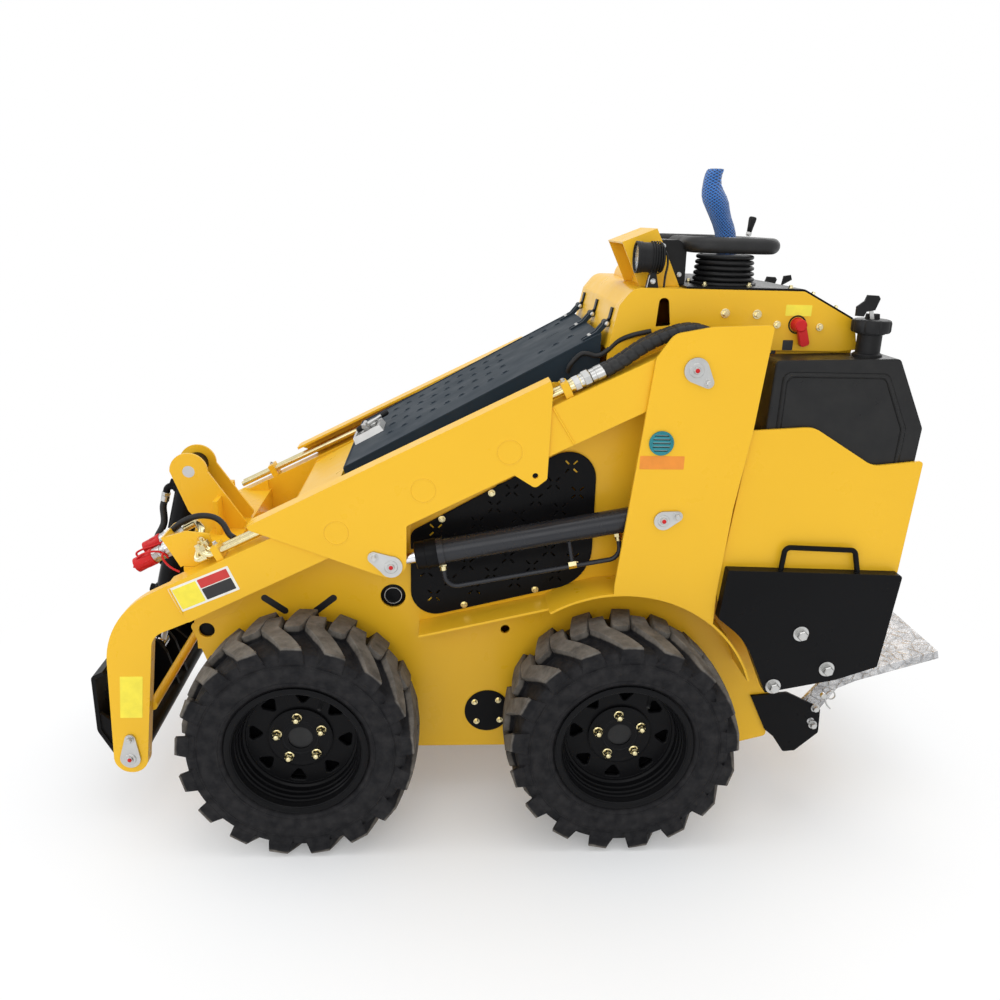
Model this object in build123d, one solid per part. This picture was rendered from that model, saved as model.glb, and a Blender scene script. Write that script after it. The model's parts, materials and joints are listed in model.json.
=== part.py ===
"""Compact wheeled loader, about 2.2 m long. Front is -X, up is +Z, left is -Y. Millimetres."""
from build123d import *
from math import atan2, cos, degrees, hypot, radians, sin, tan
import os

os.makedirs("parts", exist_ok=True)

# Wheels. All heights below are those with the axles at axle_height
axle_height = 290.0
wheelbase = 790.0
front_axle_x = -580.0
rear_axle_x = front_axle_x + wheelbase
tyre_radius = 290.0
tyre_width = 216.0
tyre_centre_y = 432.0
lug_count = 17
lug_half_angle = 4.3
lug_base_radius = 260.0
lug_foot_radius = 236.0
rim_radius = 158.0
flange_radius = 170.0
flange_width = 8.0
rim_width = 196.0
seat_clearance = 0.3
rim_wall = 6.0
disc_depth = 72.0
disc_thickness = 9.0
hub_radius = 75.0
stub_radius = 50.0
motor_radius = 88.0
window_count = 8
window_width = 34.0
window_from = 86.0
window_to = 124.0
arch_radius = tyre_radius + 62.0
arch_sheet = 6.0

# Planes, as distances from the middle
plate_thickness = 8.0
side_y = 290.0
arm_inner_y = 333.0
arm_outer_y = 397.0
neck_outer_y = 393.0
neck_thickness = 30.0
tower_y = 400.0
cylinder_y = 362.0
wing_inner_y = 264.0
wing_outer_y = 395.0
tank_inner_y = 276.0
tank_outer_y = 385.0
weight_thickness = 30.0
console_half_width = 290.0
hood_half_width = 260.0
platform_half_width = 250.0

# Clearances
pin_clearance = 0.05
side_clearance = 1.0
seat_gap = 0.3
coupler_gap = 8.0

# Pins and joints, as (x, z)
arm_pivot = (336.0, 1199.0)
lift_base = (289.0, 839.0)
lift_tip = (-358.0, 718.0)
coupler_pivot = (-1018.0, 191.0)
tilt_tip = (-1055.0, 316.0)
tilt_base = (-917.0, 847.0)
hood_pivot = (154.0, 1281.0)
platform_pivot = (776.0, 222.0)

# Body
hood_front = (-482.0, 919.0)
hood_rear = (146.0, 1263.0)
hood_sheet = 4.0
hood_flange = 60.0
hole_side = 12.0
hood_side_bottom = 1150.0
body_drop = 52.0
body_bottom = 152.0
body_shoulder = 1145.0
deck_height = 545.0
console_front_x = 151.0
console_bottom = 1225.0
console_top = 1370.0
console_sheet = 4.0
rear_wall_x = 505.0
rear_box_x = 657.0
rear_box_top = 708.0

# Arms
arm_slope = radians(26.3)
arm_depth = 104.0
arm_offset = 9.0
arm_pin_radius = 22.0
hub_boss_radius = 46.0
neck_front = 28.0
neck_back = 81.0
neck_run = 173.4
neck_bend = 210.0
neck_tip_radius = 42.0
arm_top = arm_offset + arm_depth / 2
arm_bottom = arm_offset - arm_depth / 2
neck_corner = (arm_pivot[0] - arm_top * sin(arm_slope) - coupler_pivot[0] + neck_front) / cos(arm_slope)
arm_reach = neck_corner - neck_run

# Cylinders
barrel_radius = 30.0
rod_radius = 17.5
lift_pin_radius = 16.0
lift_eye_radius = 32.0
lift_rod_show = 98.0
tilt_barrel_radius = 36.0
tilt_rod_radius = 18.0
tilt_pin_radius = 16.0
tilt_eye_radius = 30.0
tilt_rod_show = 148.0
line_drop = 96.0
bore_start = 50.0
rod_start = 90.0
bore_clearance = 0.1

# Tubes and hoses of the arms
line_y = (349.0, 377.0)
line_rise = 20.0
line_start = 222.0
tube_radius = 8.0
hose_radius = 13.0
clamp_places = (275.0, 730.0, 1185.0)
clamp_width = 18.0
coupling_axis = (-0.874, -0.485)
coupling_radius = 16.0

# Controls on the console
bar_radius = 18.0
bar_y = 262.0
bar_x = (349.0, 544.0)
bar_z = 1469.0
boot_centre = (452.0, -160.0)
boot_radius = 73.0
deck_thickness = 5.0
pod_near_y = -225.0
pod_far_y = -35.0
pod_sheet = 4.0
lamp_y = -268.0
lamp_z = 1438.0
hinge_places = (-225.0, 0.0, 225.0)
knuckle_radius = 8.0
knuckle_width = 12.0
hinge_pin_radius = 3.5


def outline(rows, y):
    """Face at one y value. Each row holds x, z and the corner's radius."""
    corners = [(x, y, z) for x, z, corner in rows]
    radii = [corner for x, z, corner in rows]
    return make_face(FilletPolyline(*corners, radius=radii, close=True))


def plate(rows, y_from, y_to):
    """Plate that stands upright along the machine."""
    return extrude(outline(rows, y_from), amount=y_to - y_from, dir=(0, 1, 0))


def folded(rows, thickness, y_from, y_to):
    """Bent sheet that grows to the left of its line. Each row holds x, z and the bend's radius."""
    steps = [Vector(b[0] - a[0], b[1] - a[1]).normalized() for a, b in zip(rows, rows[1:])]
    grown = []
    for (x, z, bend), before, after in zip(rows, steps[:1] + steps, steps + steps[-1:]):
        shift = Vector(-before.Y - after.Y, before.X + after.X) * (thickness / (1 + before.dot(after)))
        turn = before.X * after.Y - before.Y * after.X
        wider = bend - thickness if turn > 0 else bend + thickness
        grown.append((x + shift.X, z + shift.Y, wider if bend else 0))
    return plate(list(rows) + grown[::-1], y_from, y_to)


def round_y(centre, radius, y_from, y_to):
    """Cylinder across the machine."""
    x, z = centre
    return Pos(x, (y_from + y_to) / 2, z) * Rot(90, 0, 0) * Cylinder(radius, y_to - y_from)


def round_z(centre, radius, z_from, z_to):
    """Upright cylinder."""
    x, y = centre
    return Pos(x, y, (z_from + z_to) / 2) * Cylinder(radius, z_to - z_from)


def block(x_from, x_to, y_from, y_to, z_from, z_to):
    """Box between three pairs of values."""
    centre = Pos((x_from + x_to) / 2, (y_from + y_to) / 2, (z_from + z_to) / 2)
    return centre * Box(x_to - x_from, y_to - y_from, z_to - z_from)


def rod_between(start, end, radius):
    """Round bar from one point to another."""
    base = Vector(*start)
    run = Vector(*end) - base
    return extrude(Plane(origin=base, z_dir=run.normalized()) * Circle(radius), amount=run.length)


def tube(points, radii, radius):
    """Round tube along straight runs joined by arcs."""
    path = FilletPolyline(*points, radius=radii)
    section = Plane(origin=path @ 0, z_dir=path % 0) * Circle(radius)
    return sweep(section, path=path)


def hose(points, radius):
    """Hose whose arcs are as large as its runs allow."""
    radii = []
    for before, here, after in zip(points, points[1:], points[2:]):
        arriving = Vector(*here) - Vector(*before)
        leaving = Vector(*after) - Vector(*here)
        half_turn = radians(arriving.get_angle(leaving)) / 2
        radii.append(0.45 * min(arriving.length, leaving.length) / tan(half_turn))
    print("hose arcs:", [round(value) for value in radii])
    return tube(points, radii, radius)


def teardrop(pin, pin_radius, bolt, bolt_radius, y_from, y_to):
    """Retaining plate round a pin, drawn out to its bolt."""
    run = hypot(bolt[0] - pin[0], bolt[1] - pin[1])
    along = atan2(bolt[1] - pin[1], bolt[0] - pin[0])
    lean = radians(90) - atan2(pin_radius - bolt_radius, run)
    rows = []
    for centre, radius, angle in (
        (pin, pin_radius, along + lean), (pin, pin_radius, along - lean),
        (bolt, bolt_radius, along - lean), (bolt, bolt_radius, along + lean),
    ):
        rows.append((centre[0] + radius * cos(angle), centre[1] + radius * sin(angle), 0))
    ends = round_y(pin, pin_radius, y_from, y_to) + round_y(bolt, bolt_radius, y_from, y_to)
    return ends + plate(rows, y_from, y_to)


def arm_point(along, across):
    """Point on the arm, as (x, z), from the pivot towards the front and up from its middle."""
    x = arm_pivot[0] - cos(arm_slope) * along - sin(arm_slope) * across
    z = arm_pivot[1] - sin(arm_slope) * along + cos(arm_slope) * across
    return x, z


def save(name, *shapes):
    """Write one node, which holds one or more solids, at the height that its tyres give it."""
    lift = Pos(0, 0, tyre_radius - axle_height)
    solids = [lift * solid for shape in shapes for solid in shape.solids()]
    content = solids[0] if len(solids) == 1 else Compound(solids)
    export_step(content, f"parts/{name}.step")


def both_sides(shape):
    """The right-hand shape and its left-hand twin."""
    return [shape, mirror(shape, about=Plane.XZ)]


def save_pair(name, shape):
    """Write the right-hand shape and its twin as two nodes."""
    save(f"{name}_right", shape)
    save(f"{name}_left", mirror(shape, about=Plane.XZ))


def arch_space(extra, y_from, y_to):
    """Round space over the rear tyre."""
    return round_y((rear_axle_x, axle_height), arch_radius + extra, y_from, y_to)


def chassis_frame():
    """Two side plates joined by floors and walls."""
    rows = [
        (-844, 425, 0), (-875, 510, 8), (-760, 545, 20), (-626, 790, 15),
        (hood_front[0], hood_front[1] - body_drop, 10), (26, body_shoulder, 0),
        (console_front_x, body_shoulder, 0), (console_front_x, console_bottom, 0),
        (rear_wall_x, console_bottom, 0), (rear_wall_x, rear_box_top, 0), (rear_box_x, rear_box_top, 20),
        (rear_box_x, 174, 12), (574, body_bottom, 0), (-720, body_bottom, 30), (-800, 290, 20),
    ]
    side = plate(rows, side_y - plate_thickness, side_y)
    window = [
        (-290, 735, 0), (-290, 620, 12), (-236, 562, 12), (70, 632, 12), (124, 730, 12),
        (124, 890, 12), (60, 950, 12), (-100, 890, 12),
    ]
    side -= plate(window, side_y - 2 * plate_thickness, side_y + plate_thickness)
    holes = [
        ((-834, 496), 20), ((-361, 591), 32), ((-72, 497), 12),
        (arm_pivot, arm_pin_radius + pin_clearance), (lift_base, lift_pin_radius + pin_clearance),
        ((front_axle_x, axle_height), motor_radius + pin_clearance),
        ((rear_axle_x, axle_height), motor_radius + pin_clearance),
    ]
    for centre, radius in holes:
        side -= round_y(centre, radius, side_y - 2 * plate_thickness, side_y + plate_thickness)
    inner = side_y - plate_thickness
    sheet = plate_thickness
    wall_foot = deck_height + sheet / 2
    walls = [
        block(-708, 574, -inner, inner, body_bottom, body_bottom + sheet),
        block(-770, rear_wall_x - sheet / 2, -inner, inner, deck_height, deck_height + sheet),
        block(-708, -700, -inner, inner, body_bottom + sheet / 2, wall_foot),
        block(-862, -846, -inner, inner, 440, 500),
        block(rear_wall_x - sheet, rear_wall_x, -inner, inner, wall_foot, console_bottom),
        block(rear_wall_x - 4, rear_box_x - 4, -inner, inner, rear_box_top - sheet, rear_box_top),
        block(rear_box_x - sheet, rear_box_x, -inner, inner, 176, rear_box_top),
    ]
    frame = side + mirror(side, about=Plane.XZ)
    for wall in walls:
        frame += wall
    return frame


def tower():
    """Outer tower plate with its rear web, ledge and arch over the rear tyre."""
    outer_face = tower_y + plate_thickness
    rows = [
        (507, 1303, 10), (368, 1296, 20), (281, 1279, 40), (243, 1225, 12), (183, 670, 0), (186, 560, 0),
        (437, 560, 0), (437, 641, 0), (456, 867, 0), (483, 1053, 20),
    ]
    outer = plate(rows, tower_y, outer_face)
    outer -= round_y(arm_pivot, arm_pin_radius + pin_clearance, tower_y - 10, outer_face + 10)
    outer -= round_y(lift_base, lift_pin_radius + pin_clearance, tower_y - 10, outer_face + 10)
    web_rows = [
        (427, 540, 0), (435, 540, 0), (437, 641, 0), (456, 867, 0), (478, 1040, 0), (470, 1040, 0),
        (448, 867, 0), (429, 641, 0),
    ]
    ledge_end = rear_axle_x - 168
    ledge_rows = [(-294, 517, 0), (-294, 523, 0), (ledge_end, 600, 0), (ledge_end, 594, 0)]
    body = outer + plate(web_rows, side_y, tower_y)
    body += plate(ledge_rows, side_y, side_y + 90)
    body -= arch_space(0, side_y - 10, outer_face + 10)
    sector = [
        (rear_axle_x, axle_height + 60, 0), (rear_axle_x - 300, axle_height + 466, 0),
        (rear_axle_x + 420, axle_height + 420, 0), (rear_axle_x + 420, axle_height + 130, 0),
    ]
    ring = arch_space(arch_sheet, side_y, outer_face) - arch_space(0, side_y - 10, outer_face + 10)
    return body + (ring & plate(sector, side_y - 10, outer_face + 10))


vent_centre = (269.0, 1028.0)
vent_radius = 29.0
cowl_half_width = -pod_near_y - pod_sheet - side_clearance


def cowl_space(extra, y_from, y_to):
    """Rounded step on top of the console, in front of the controls."""
    rows = [
        (250 - extra, console_top - 2, 0), (250 - extra, 1410 + extra, 39), (302 + extra, 1410 + extra, 6),
        (302 + extra, console_top - 2, 0),
    ]
    return plate(rows, y_from, y_to)


def console_body():
    """Sheet-metal housing on top of the body, with the rounded step in front of the controls."""
    rows = [
        (console_front_x, console_bottom, 0), (173, 1329, 14), (205, console_top, 40),
        (612, console_top, 20), (742, 1304, 8), (757, 1236, 0), (712, 1231, 0), (547, 1231, 0),
        (547, console_bottom, 0),
    ]
    shell = plate(rows, -console_half_width, console_half_width)
    inner_face = offset(outline(rows, 0), amount=-console_sheet)
    shell -= extrude(inner_face, amount=console_half_width - console_sheet, dir=(0, 1, 0), both=True)
    slot_rows = [(262, 1281, 3), (297, 1285, 3), (289, 1348, 10.9), (267, 1348, 10.9)]
    shell -= plate(slot_rows, -console_half_width - 1, console_half_width + 1)
    return shell + cowl_space(0, -cowl_half_width, cowl_half_width)


def console_deck():
    """Black sheet over the top of the console."""
    top = console_top + seat_gap
    rows = [(330, top, 0), (612, top, 20), (738, 1306.3, 0)]
    return folded(rows, deck_thickness, -console_half_width + 6, console_half_width - 6)


pod_rear = (327.1, console_top + 2.2)
pod_peak = (264.0, 1503.0)
pod_brow = (182.0, 1470.0)


def gauge_pod():
    """Raised visor on the console, open to the front."""
    lid = folded([(*pod_rear, 0), (*pod_peak, 0), (*pod_brow, 0)], pod_sheet, pod_near_y, pod_far_y)
    foot = console_top + seat_gap
    cheek_rows = [(*pod_brow, 0), (*pod_peak, 0), (328, foot, 0), (230, foot, 0)]
    near = plate(cheek_rows, pod_near_y, pod_near_y + pod_sheet)
    far = plate(cheek_rows, pod_far_y - pod_sheet, pod_far_y)
    return lid + near + far - cowl_space(seat_gap, -cowl_half_width - seat_gap, cowl_half_width)


def instrument_box():
    """Black housing behind the visor, on the deck."""
    foot = console_top + 2 * seat_gap + deck_thickness
    rows = [(277.4, 1477, 0), (322, 1478, 16), (341, 1462, 10), (342, foot, 0), (326.6, foot, 0)]
    return plate(rows, pod_near_y + 10, pod_far_y - 10)


def work_lamp():
    """Round lamp that looks forward, on its foot."""
    body = None
    for x_from, x_to, radius in ((211, 222, 35.5), (221, 254, 34), (253, 262, 30), (261, 268, 20)):
        ring = rod_between((x_from, lamp_y, lamp_z), (x_to, lamp_y, lamp_z), radius)
        body = ring if body is None else body + ring
    body -= rod_between((210, lamp_y, lamp_z), (216, lamp_y, lamp_z), 31)
    foot_rows = [
        (237, console_top + seat_gap, 0), (264, console_top + seat_gap, 0), (256, lamp_z - 30, 0),
        (245, lamp_z - 30, 0),
    ]
    return body + plate(foot_rows, lamp_y - 12, lamp_y + 12)


def lamp_lens():
    """Clear disc in the lamp's front."""
    return rod_between((212, lamp_y, lamp_z), (216 - seat_gap, lamp_y, lamp_z), 31 - seat_gap)


def hand_bar():
    """Padded bar round the operator's side of the console, on two feet."""
    front_x, rear_x = bar_x
    foot = console_top + 2 * seat_gap + deck_thickness
    points = [
        (front_x, -bar_y, foot + 2), (front_x, -bar_y, bar_z), (rear_x, -bar_y, bar_z),
        (rear_x, bar_y, bar_z), (front_x, bar_y, bar_z), (front_x, bar_y, foot + 2),
    ]
    bar = tube(points, [42, 45, 45, 42], bar_radius)
    for y in (-bar_y, bar_y):
        bar += round_z((front_x, y), bar_radius + 2, foot, foot + 6)
    return bar


def joystick_boot():
    """Rubber bellows under the drive lever. Rows: height over the deck, radius."""
    foot = console_top + 2 * seat_gap + deck_thickness
    rows = [(0, boot_radius + 4), (5, boot_radius + 4)]
    for fold in range(5):
        rows += [(6 + 12 * fold, boot_radius - 9), (12 + 12 * fold, boot_radius - 2 * fold)]
    rows += [(66, 50), (71, 30)]
    x, y = boot_centre
    points = [(x, y, foot)] + [(x + radius, y, foot + rise) for rise, radius in rows] + [(x, y, foot + 71)]
    return revolve(make_face(Polyline(*points, close=True)), axis=Axis((x, y, 0), (0, 0, 1)))


def joystick_lever():
    """Drive lever in its knitted sleeve. Rows: x, z, radius."""
    foot = console_top + 3 * seat_gap + deck_thickness + 71
    rows = [(455, foot, 24), (447, 1500, 26), (415, 1572, 31), (402, 1612, 22), (410, 1642, 20)]
    return loft([Pos(x, boot_centre[1], z) * Circle(radius) for x, z, radius in rows], ruled=True)


def side_lever():
    """Small lever with its knob on the far side of the deck."""
    foot = console_top + 2 * seat_gap + deck_thickness
    body = round_z((588, 150), 18, foot, foot + 10)
    body += rod_between((588, 150, foot + 5), (604, 150, 1470), 4.5)
    knob = loft([Pos(603.5, 150, 1466) * Circle(10), Pos(611, 150, 1514) * Circle(15)], ruled=True)
    return body + knob


def isolator_switch():
    """Red rotary handle on the left side of the console."""
    centre = (603.0, 1293.0)
    outside = -console_half_width - seat_gap
    handle_rows = [(594, 1303, 5), (609, 1305, 5), (628, 1250, 6), (612, 1244, 6)]
    return round_y(centre, 17, outside - 10, outside) + plate(handle_rows, outside - 22, outside - 8)


def hood_slope_point(along, above):
    """Point over the hood's top as (x, z), from its front edge."""
    slope = atan2(hood_rear[1] - hood_front[1], hood_rear[0] - hood_front[0])
    x = hood_front[0] + cos(slope) * along - sin(slope) * above
    z = hood_front[1] + sin(slope) * along + cos(slope) * above
    return x, z


def hood_holes():
    """Square holes through the hood's top, in four rows at the front and two at the rear."""
    slope = degrees(atan2(hood_rear[1] - hood_front[1], hood_rear[0] - hood_front[0]))
    places = [(123 + 42 * step, -118 + 98 * row) for step in range(9) for row in range(4)]
    places += [(565 + 42 * step, y) for step in range(3) for y in (-98, 184)]
    holes = []
    for along, y in places:
        x, z = hood_slope_point(along, 0)
        holes.append(Pos(x, y, z) * Rot(0, -slope, 0) * Box(hole_side, hole_side, 6 * hood_sheet))
    x, z = hood_slope_point(617, 0)
    return holes + [Pos(x, 48, z) * Rot(0, -slope, 0) * Box(40, 4, 6 * hood_sheet)]


def hood():
    """Sheet hood with folded sides and front, and its half of the hinges."""
    fx, fz = hood_front
    rx, rz = hood_slope_point(hypot(hood_rear[0] - fx, hood_rear[1] - fz) - 7, 0)
    rows = [
        (fx, fz, 0), (rx, rz, 0), (rx, hood_side_bottom, 0), (20, hood_side_bottom - 24, 0),
        (fx + 20, fz - hood_flange, 0),
    ]
    solid = plate(rows, -hood_half_width, hood_half_width)
    lower = [
        (fx + 6, fz - 2 * hood_sheet, 0), (rx - 2, rz - hood_sheet - 1, 0), (rx + 60, hood_side_bottom - 150, 0),
        (fx + 60, fz - 4 * hood_flange, 0), (fx + 26, fz - 2 * hood_flange, 0),
    ]
    solid -= plate(lower, -hood_half_width + hood_sheet, hood_half_width - hood_sheet)
    solid -= hood_holes()
    px, pz = hood_pivot
    length = hypot(rx - fx, rz - fz)
    leaf_rows = [
        (*hood_slope_point(length - 46, -1), 0), (*hood_slope_point(length - 2, -1), 0), (px, pz - 7, 0),
        (px - 3, pz + 6, 0), (*hood_slope_point(length - 8, 6), 0), (*hood_slope_point(length - 46, 4), 0),
    ]
    for y in hinge_places:
        for start in (y - 1.5 * knuckle_width - 0.5, y + 0.5 * knuckle_width + 0.5):
            knuckle = plate(leaf_rows, start, start + knuckle_width)
            knuckle += round_y(hood_pivot, knuckle_radius, start, start + knuckle_width)
            bore = round_y(hood_pivot, hinge_pin_radius + pin_clearance, start - 1, start + knuckle_width + 1)
            solid += knuckle - bore
    return solid


def hood_hinges():
    """The console's half of the hood hinges, with their pins."""
    lean = atan2(173 - console_front_x, 1329 - console_bottom)

    def on_front(up, out):
        x = console_front_x + sin(lean) * up - cos(lean) * out
        return x, console_bottom + cos(lean) * up + sin(lean) * out

    neck_rows = [
        (*on_front(56, seat_gap), 0), (*on_front(70, seat_gap), 0), (*on_front(70, 4.3), 0),
        (*on_front(56, 14), 0),
    ]
    leaf_rows = [
        (*on_front(67, seat_gap), 0), (*on_front(95, seat_gap), 0), (*on_front(95, 4.3), 0),
        (*on_front(67, 4.3), 0),
    ]
    hinges = []
    for y in hinge_places:
        hinge = round_y(hood_pivot, knuckle_radius, y - knuckle_width / 2, y + knuckle_width / 2)
        hinge += plate(neck_rows, y - knuckle_width / 2, y + knuckle_width / 2)
        hinge += plate(leaf_rows, y - knuckle_width, y + knuckle_width)
        hinge += round_y(hood_pivot, hinge_pin_radius, y - 1.7 * knuckle_width, y + 1.7 * knuckle_width)
        hinges.append(hinge)
    return hinges


def hood_latch():
    """Catch with a turning handle at the hood's front."""
    base_rows = [
        (*hood_slope_point(25, seat_gap), 0), (*hood_slope_point(78, seat_gap), 0),
        (*hood_slope_point(78, 5), 0), (*hood_slope_point(25, 5), 0),
    ]
    body = plate(base_rows, -22, 22)
    post = (hood_slope_point(52, 3), hood_slope_point(52, 34))
    body += rod_between((post[0][0], 0, post[0][1]), (post[1][0], 0, post[1][1]), 10)
    handle = hood_slope_point(52, 30)
    return body + round_y(handle, 5.5, -30, 30)


def lift_arm():
    """Box beam with its shroud plate, gooseneck and the inner cylinder ear."""
    sheet = plate_thickness
    beam_rows = [
        (*arm_point(0, arm_top), 0), (*arm_point(arm_reach, arm_top), 0),
        (*arm_point(arm_reach, arm_bottom), 0), (*arm_point(0, arm_bottom), 0),
    ]
    beam = plate(beam_rows, arm_inner_y, arm_outer_y)
    beam += round_y(arm_point(0, arm_offset), arm_depth / 2, arm_inner_y, arm_outer_y)
    hollow_rows = [
        (*arm_point(-arm_depth, arm_top - sheet), 0), (*arm_point(arm_reach - sheet, arm_top - sheet), 0),
        (*arm_point(arm_reach - sheet, arm_bottom + sheet), 0),
        (*arm_point(-arm_depth, arm_bottom + sheet), 0),
    ]
    beam -= plate(hollow_rows, arm_inner_y + sheet, arm_outer_y - sheet)
    hub = round_y(arm_pivot, hub_boss_radius, side_y + side_clearance, tower_y - side_clearance)
    tip_x, tip_z = coupler_pivot
    tip = neck_tip_radius
    neck_rows = [
        (*arm_point(arm_reach, arm_top), 0), (*arm_point(neck_corner, arm_top), neck_bend),
        (tip_x - tip, tip_z, 0), (tip_x - tip, tip_z - tip, tip - 1), (tip_x + tip, tip_z - tip, tip - 1),
        (tip_x + tip, tip_z, 0), (tip_x + neck_back, 528, 45), (*arm_point(arm_reach, arm_bottom), 0),
    ]
    neck = plate(neck_rows, neck_outer_y - neck_thickness, neck_outer_y)
    ex, ez = lift_tip
    shroud_rows = [
        (-693, 815, 4), (-687, 806, 4), (ex - 10, ez - 31, 30), (ex + 36, ez - 10, 24),
        (-321, 819, 6), (-70, 946, 0), (-20, 915, 12), (7, 937, 8), (12, 1148, 10), (6, 1168, 4),
    ]
    shroud = plate(shroud_rows, arm_outer_y, arm_outer_y + sheet)
    shroud -= round_y((-21, 945), 7, arm_outer_y - 5, arm_outer_y + 15)
    flange_rows = [(-693, 815, 0), (6, 1168, 0), (9, 1162, 0), (-690, 809, 0)]
    flange = plate(flange_rows, arm_outer_y - 50, arm_outer_y + 1)
    ear_rows = [
        (ex - 60, ez + 90, 0), (ex - 38, ez - 10, 30), (ex + 38, ez - 14, 30), (ex + 50, ez + 145, 0),
    ]
    ear = plate(ear_rows, arm_inner_y - sheet, arm_inner_y)
    stub = round_y(lift_tip, lift_pin_radius, arm_outer_y - 12, arm_outer_y)
    stub += round_y(lift_tip, lift_pin_radius, arm_inner_y, arm_inner_y + 8)
    arm = beam + neck + shroud + flange + ear + stub + hub
    arm -= round_y(arm_pivot, arm_pin_radius + pin_clearance, side_y - 90, tower_y + 20)
    arm -= round_y(coupler_pivot, tilt_pin_radius + pin_clearance, arm_inner_y, tower_y + 20)
    return arm


cross_front_x = -865.0
cross_rear_x = -775.0
cross_top = 686.0
tilt_ear_y = 44.0


def cross_members():
    """Box between the arms with the two ears of the tilt cylinder, and a round bar between the necks."""
    box = block(cross_front_x, cross_rear_x, -arm_inner_y, arm_inner_y, cross_top - 90, cross_top)
    base_x, base_z = tilt_base
    rows = [
        (base_x - 50, base_z, 0), (base_x - 50, base_z + 50, 49), (base_x + 50, base_z + 50, 49),
        (base_x + 50, base_z, 0), (-771, 703, 10), (-800, 660, 0), (-850, 660, 0), (-925, 735, 20),
    ]
    gusset_rows = [(-782, 720, 0), (-776, cross_top - 40, 0), (cross_rear_x, cross_top - 1, 0), (-850, cross_top - 1, 0)]
    gusset_outer = arm_inner_y - 3 * plate_thickness
    ear = plate(rows, tilt_ear_y, tilt_ear_y + plate_thickness)
    ear -= round_y(tilt_base, tilt_pin_radius + pin_clearance, tilt_ear_y - 10, tilt_ear_y + 20)
    ear += plate([(-840, cross_top - 1, 0), (-846, 780, 0), (-834, 780, 0), (-828, cross_top - 1, 0)],
                 tilt_ear_y + plate_thickness - 1, tilt_ear_y + 60)
    ear += plate(gusset_rows, gusset_outer, gusset_outer + plate_thickness)
    neck_inner_y = neck_outer_y - neck_thickness
    bar = round_y((-962, 322), 12, -neck_inner_y, neck_inner_y)
    return [box + ear + mirror(ear, about=Plane.XZ), bar]


def tower_pins():
    """Pins of the arm and of the lift cylinder's base."""
    pins = []
    for pin, radius, bolt in (
        (arm_pivot, arm_pin_radius, (365, 1171)), (lift_base, lift_pin_radius, (321, 850)),
    ):
        outside = tower_y + plate_thickness
        solid = round_y(pin, radius, side_y - plate_thickness, outside + 1)
        solid += teardrop(pin, radius + 7, bolt, 13, outside + seat_gap, outside + 6)
        pins += both_sides(solid)
    return pins


def arm_pins():
    """Hinge pin of the coupler with its retaining plates, and the tilt cylinder's base pin."""
    px, pz = coupler_pivot
    outside = neck_outer_y
    keeper = teardrop(coupler_pivot, tilt_pin_radius + 9, (px + 4, pz + 56), 13, outside + seat_gap, outside + 6)
    hinge = round_y(coupler_pivot, tilt_pin_radius, -outside - 1, outside + 1)
    hinge += keeper
    hinge += mirror(keeper, about=Plane.XZ)
    ear_outer = tilt_ear_y + plate_thickness
    return [hinge, round_y(tilt_base, tilt_pin_radius, -ear_outer, ear_outer)]


near_bend = arm_point(1225, arm_top + line_rise)
near_end = (near_bend[0] - 19, near_bend[1] + 33)


def arm_tubes():
    """Two steel tubes along each arm. On the left they turn up in front of the shroud."""
    start = arm_point(line_start, arm_top + line_rise)
    collar_end = arm_point(line_start + 45, arm_top + line_rise)
    far_end = arm_point(1303, arm_top + line_rise)
    tubes = []
    for y in line_y:
        tubes.append(rod_between((start[0], y, start[1]), (far_end[0], y, far_end[1]), tube_radius))
        tubes[-1] += rod_between((start[0], y, start[1]), (collar_end[0], y, collar_end[1]), hose_radius)
        near = tube([(x, -y, z) for x, z in (start, near_bend, near_end)], [20], tube_radius)
        near += rod_between((start[0], -y, start[1]), (collar_end[0], -y, collar_end[1]), hose_radius)
        tubes.append(near)
    return tubes


def tube_clamps():
    """Clamps that hold the tubes on the arms."""
    clamps = []
    for place in clamp_places:
        rows = []
        for along, across in (
            (place, seat_gap), (place + clamp_width, seat_gap), (place + clamp_width, line_rise + 16),
            (place, line_rise + 16),
        ):
            rows.append((*arm_point(along, arm_top + across), 0))
        clamp = plate(rows, line_y[0] - 11, line_y[1] + 11)
        bore_from = arm_point(place - 5, arm_top + line_rise)
        bore_to = arm_point(place + clamp_width + 5, arm_top + line_rise)
        for y in line_y:
            bore = rod_between((bore_from[0], y, bore_from[1]), (bore_to[0], y, bore_to[1]), tube_radius + 0.1)
            clamp -= bore
        clamps += both_sides(clamp)
    return clamps


def arm_hoses():
    """Hoses that go from the arm's tubes over its pivot."""
    start = arm_point(line_start - seat_gap, arm_top + line_rise)
    straight_end = arm_point(line_start - 66, arm_top + line_rise)
    route = [start, straight_end, (235, 1258), (330, 1291), (405, 1262), (432, 1195), (405, 1130)]
    hoses = []
    for y in line_y:
        hoses += both_sides(hose([(x, y, z) for x, z in route], hose_radius))
    return hoses


flange_foot = (-873.0, 684.0)


def coupling_point(rise, out):
    """Point by the coupling flange, up along it and out in front of it."""
    ux, uz = coupling_axis
    return flange_foot[0] + uz * rise + ux * out, flange_foot[1] - ux * rise + uz * out


def coupling_bracket():
    """Bracket on the cross member that holds the quick couplings."""
    flange_rows = []
    for rise, out in ((0, 0), (86, 0), (86, -8), (0, -8)):
        flange_rows.append((*coupling_point(rise, out), 0))
    web_rows = [
        (*coupling_point(84, -4), 0), (-857, 776, 10), (-800, 770, 10), (-782, cross_top + seat_gap, 0),
        (-864, cross_top + seat_gap, 0), (*coupling_point(4, -4), 0),
    ]
    return plate(flange_rows, -330, -222) + plate(web_rows, -330, -322)


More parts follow.
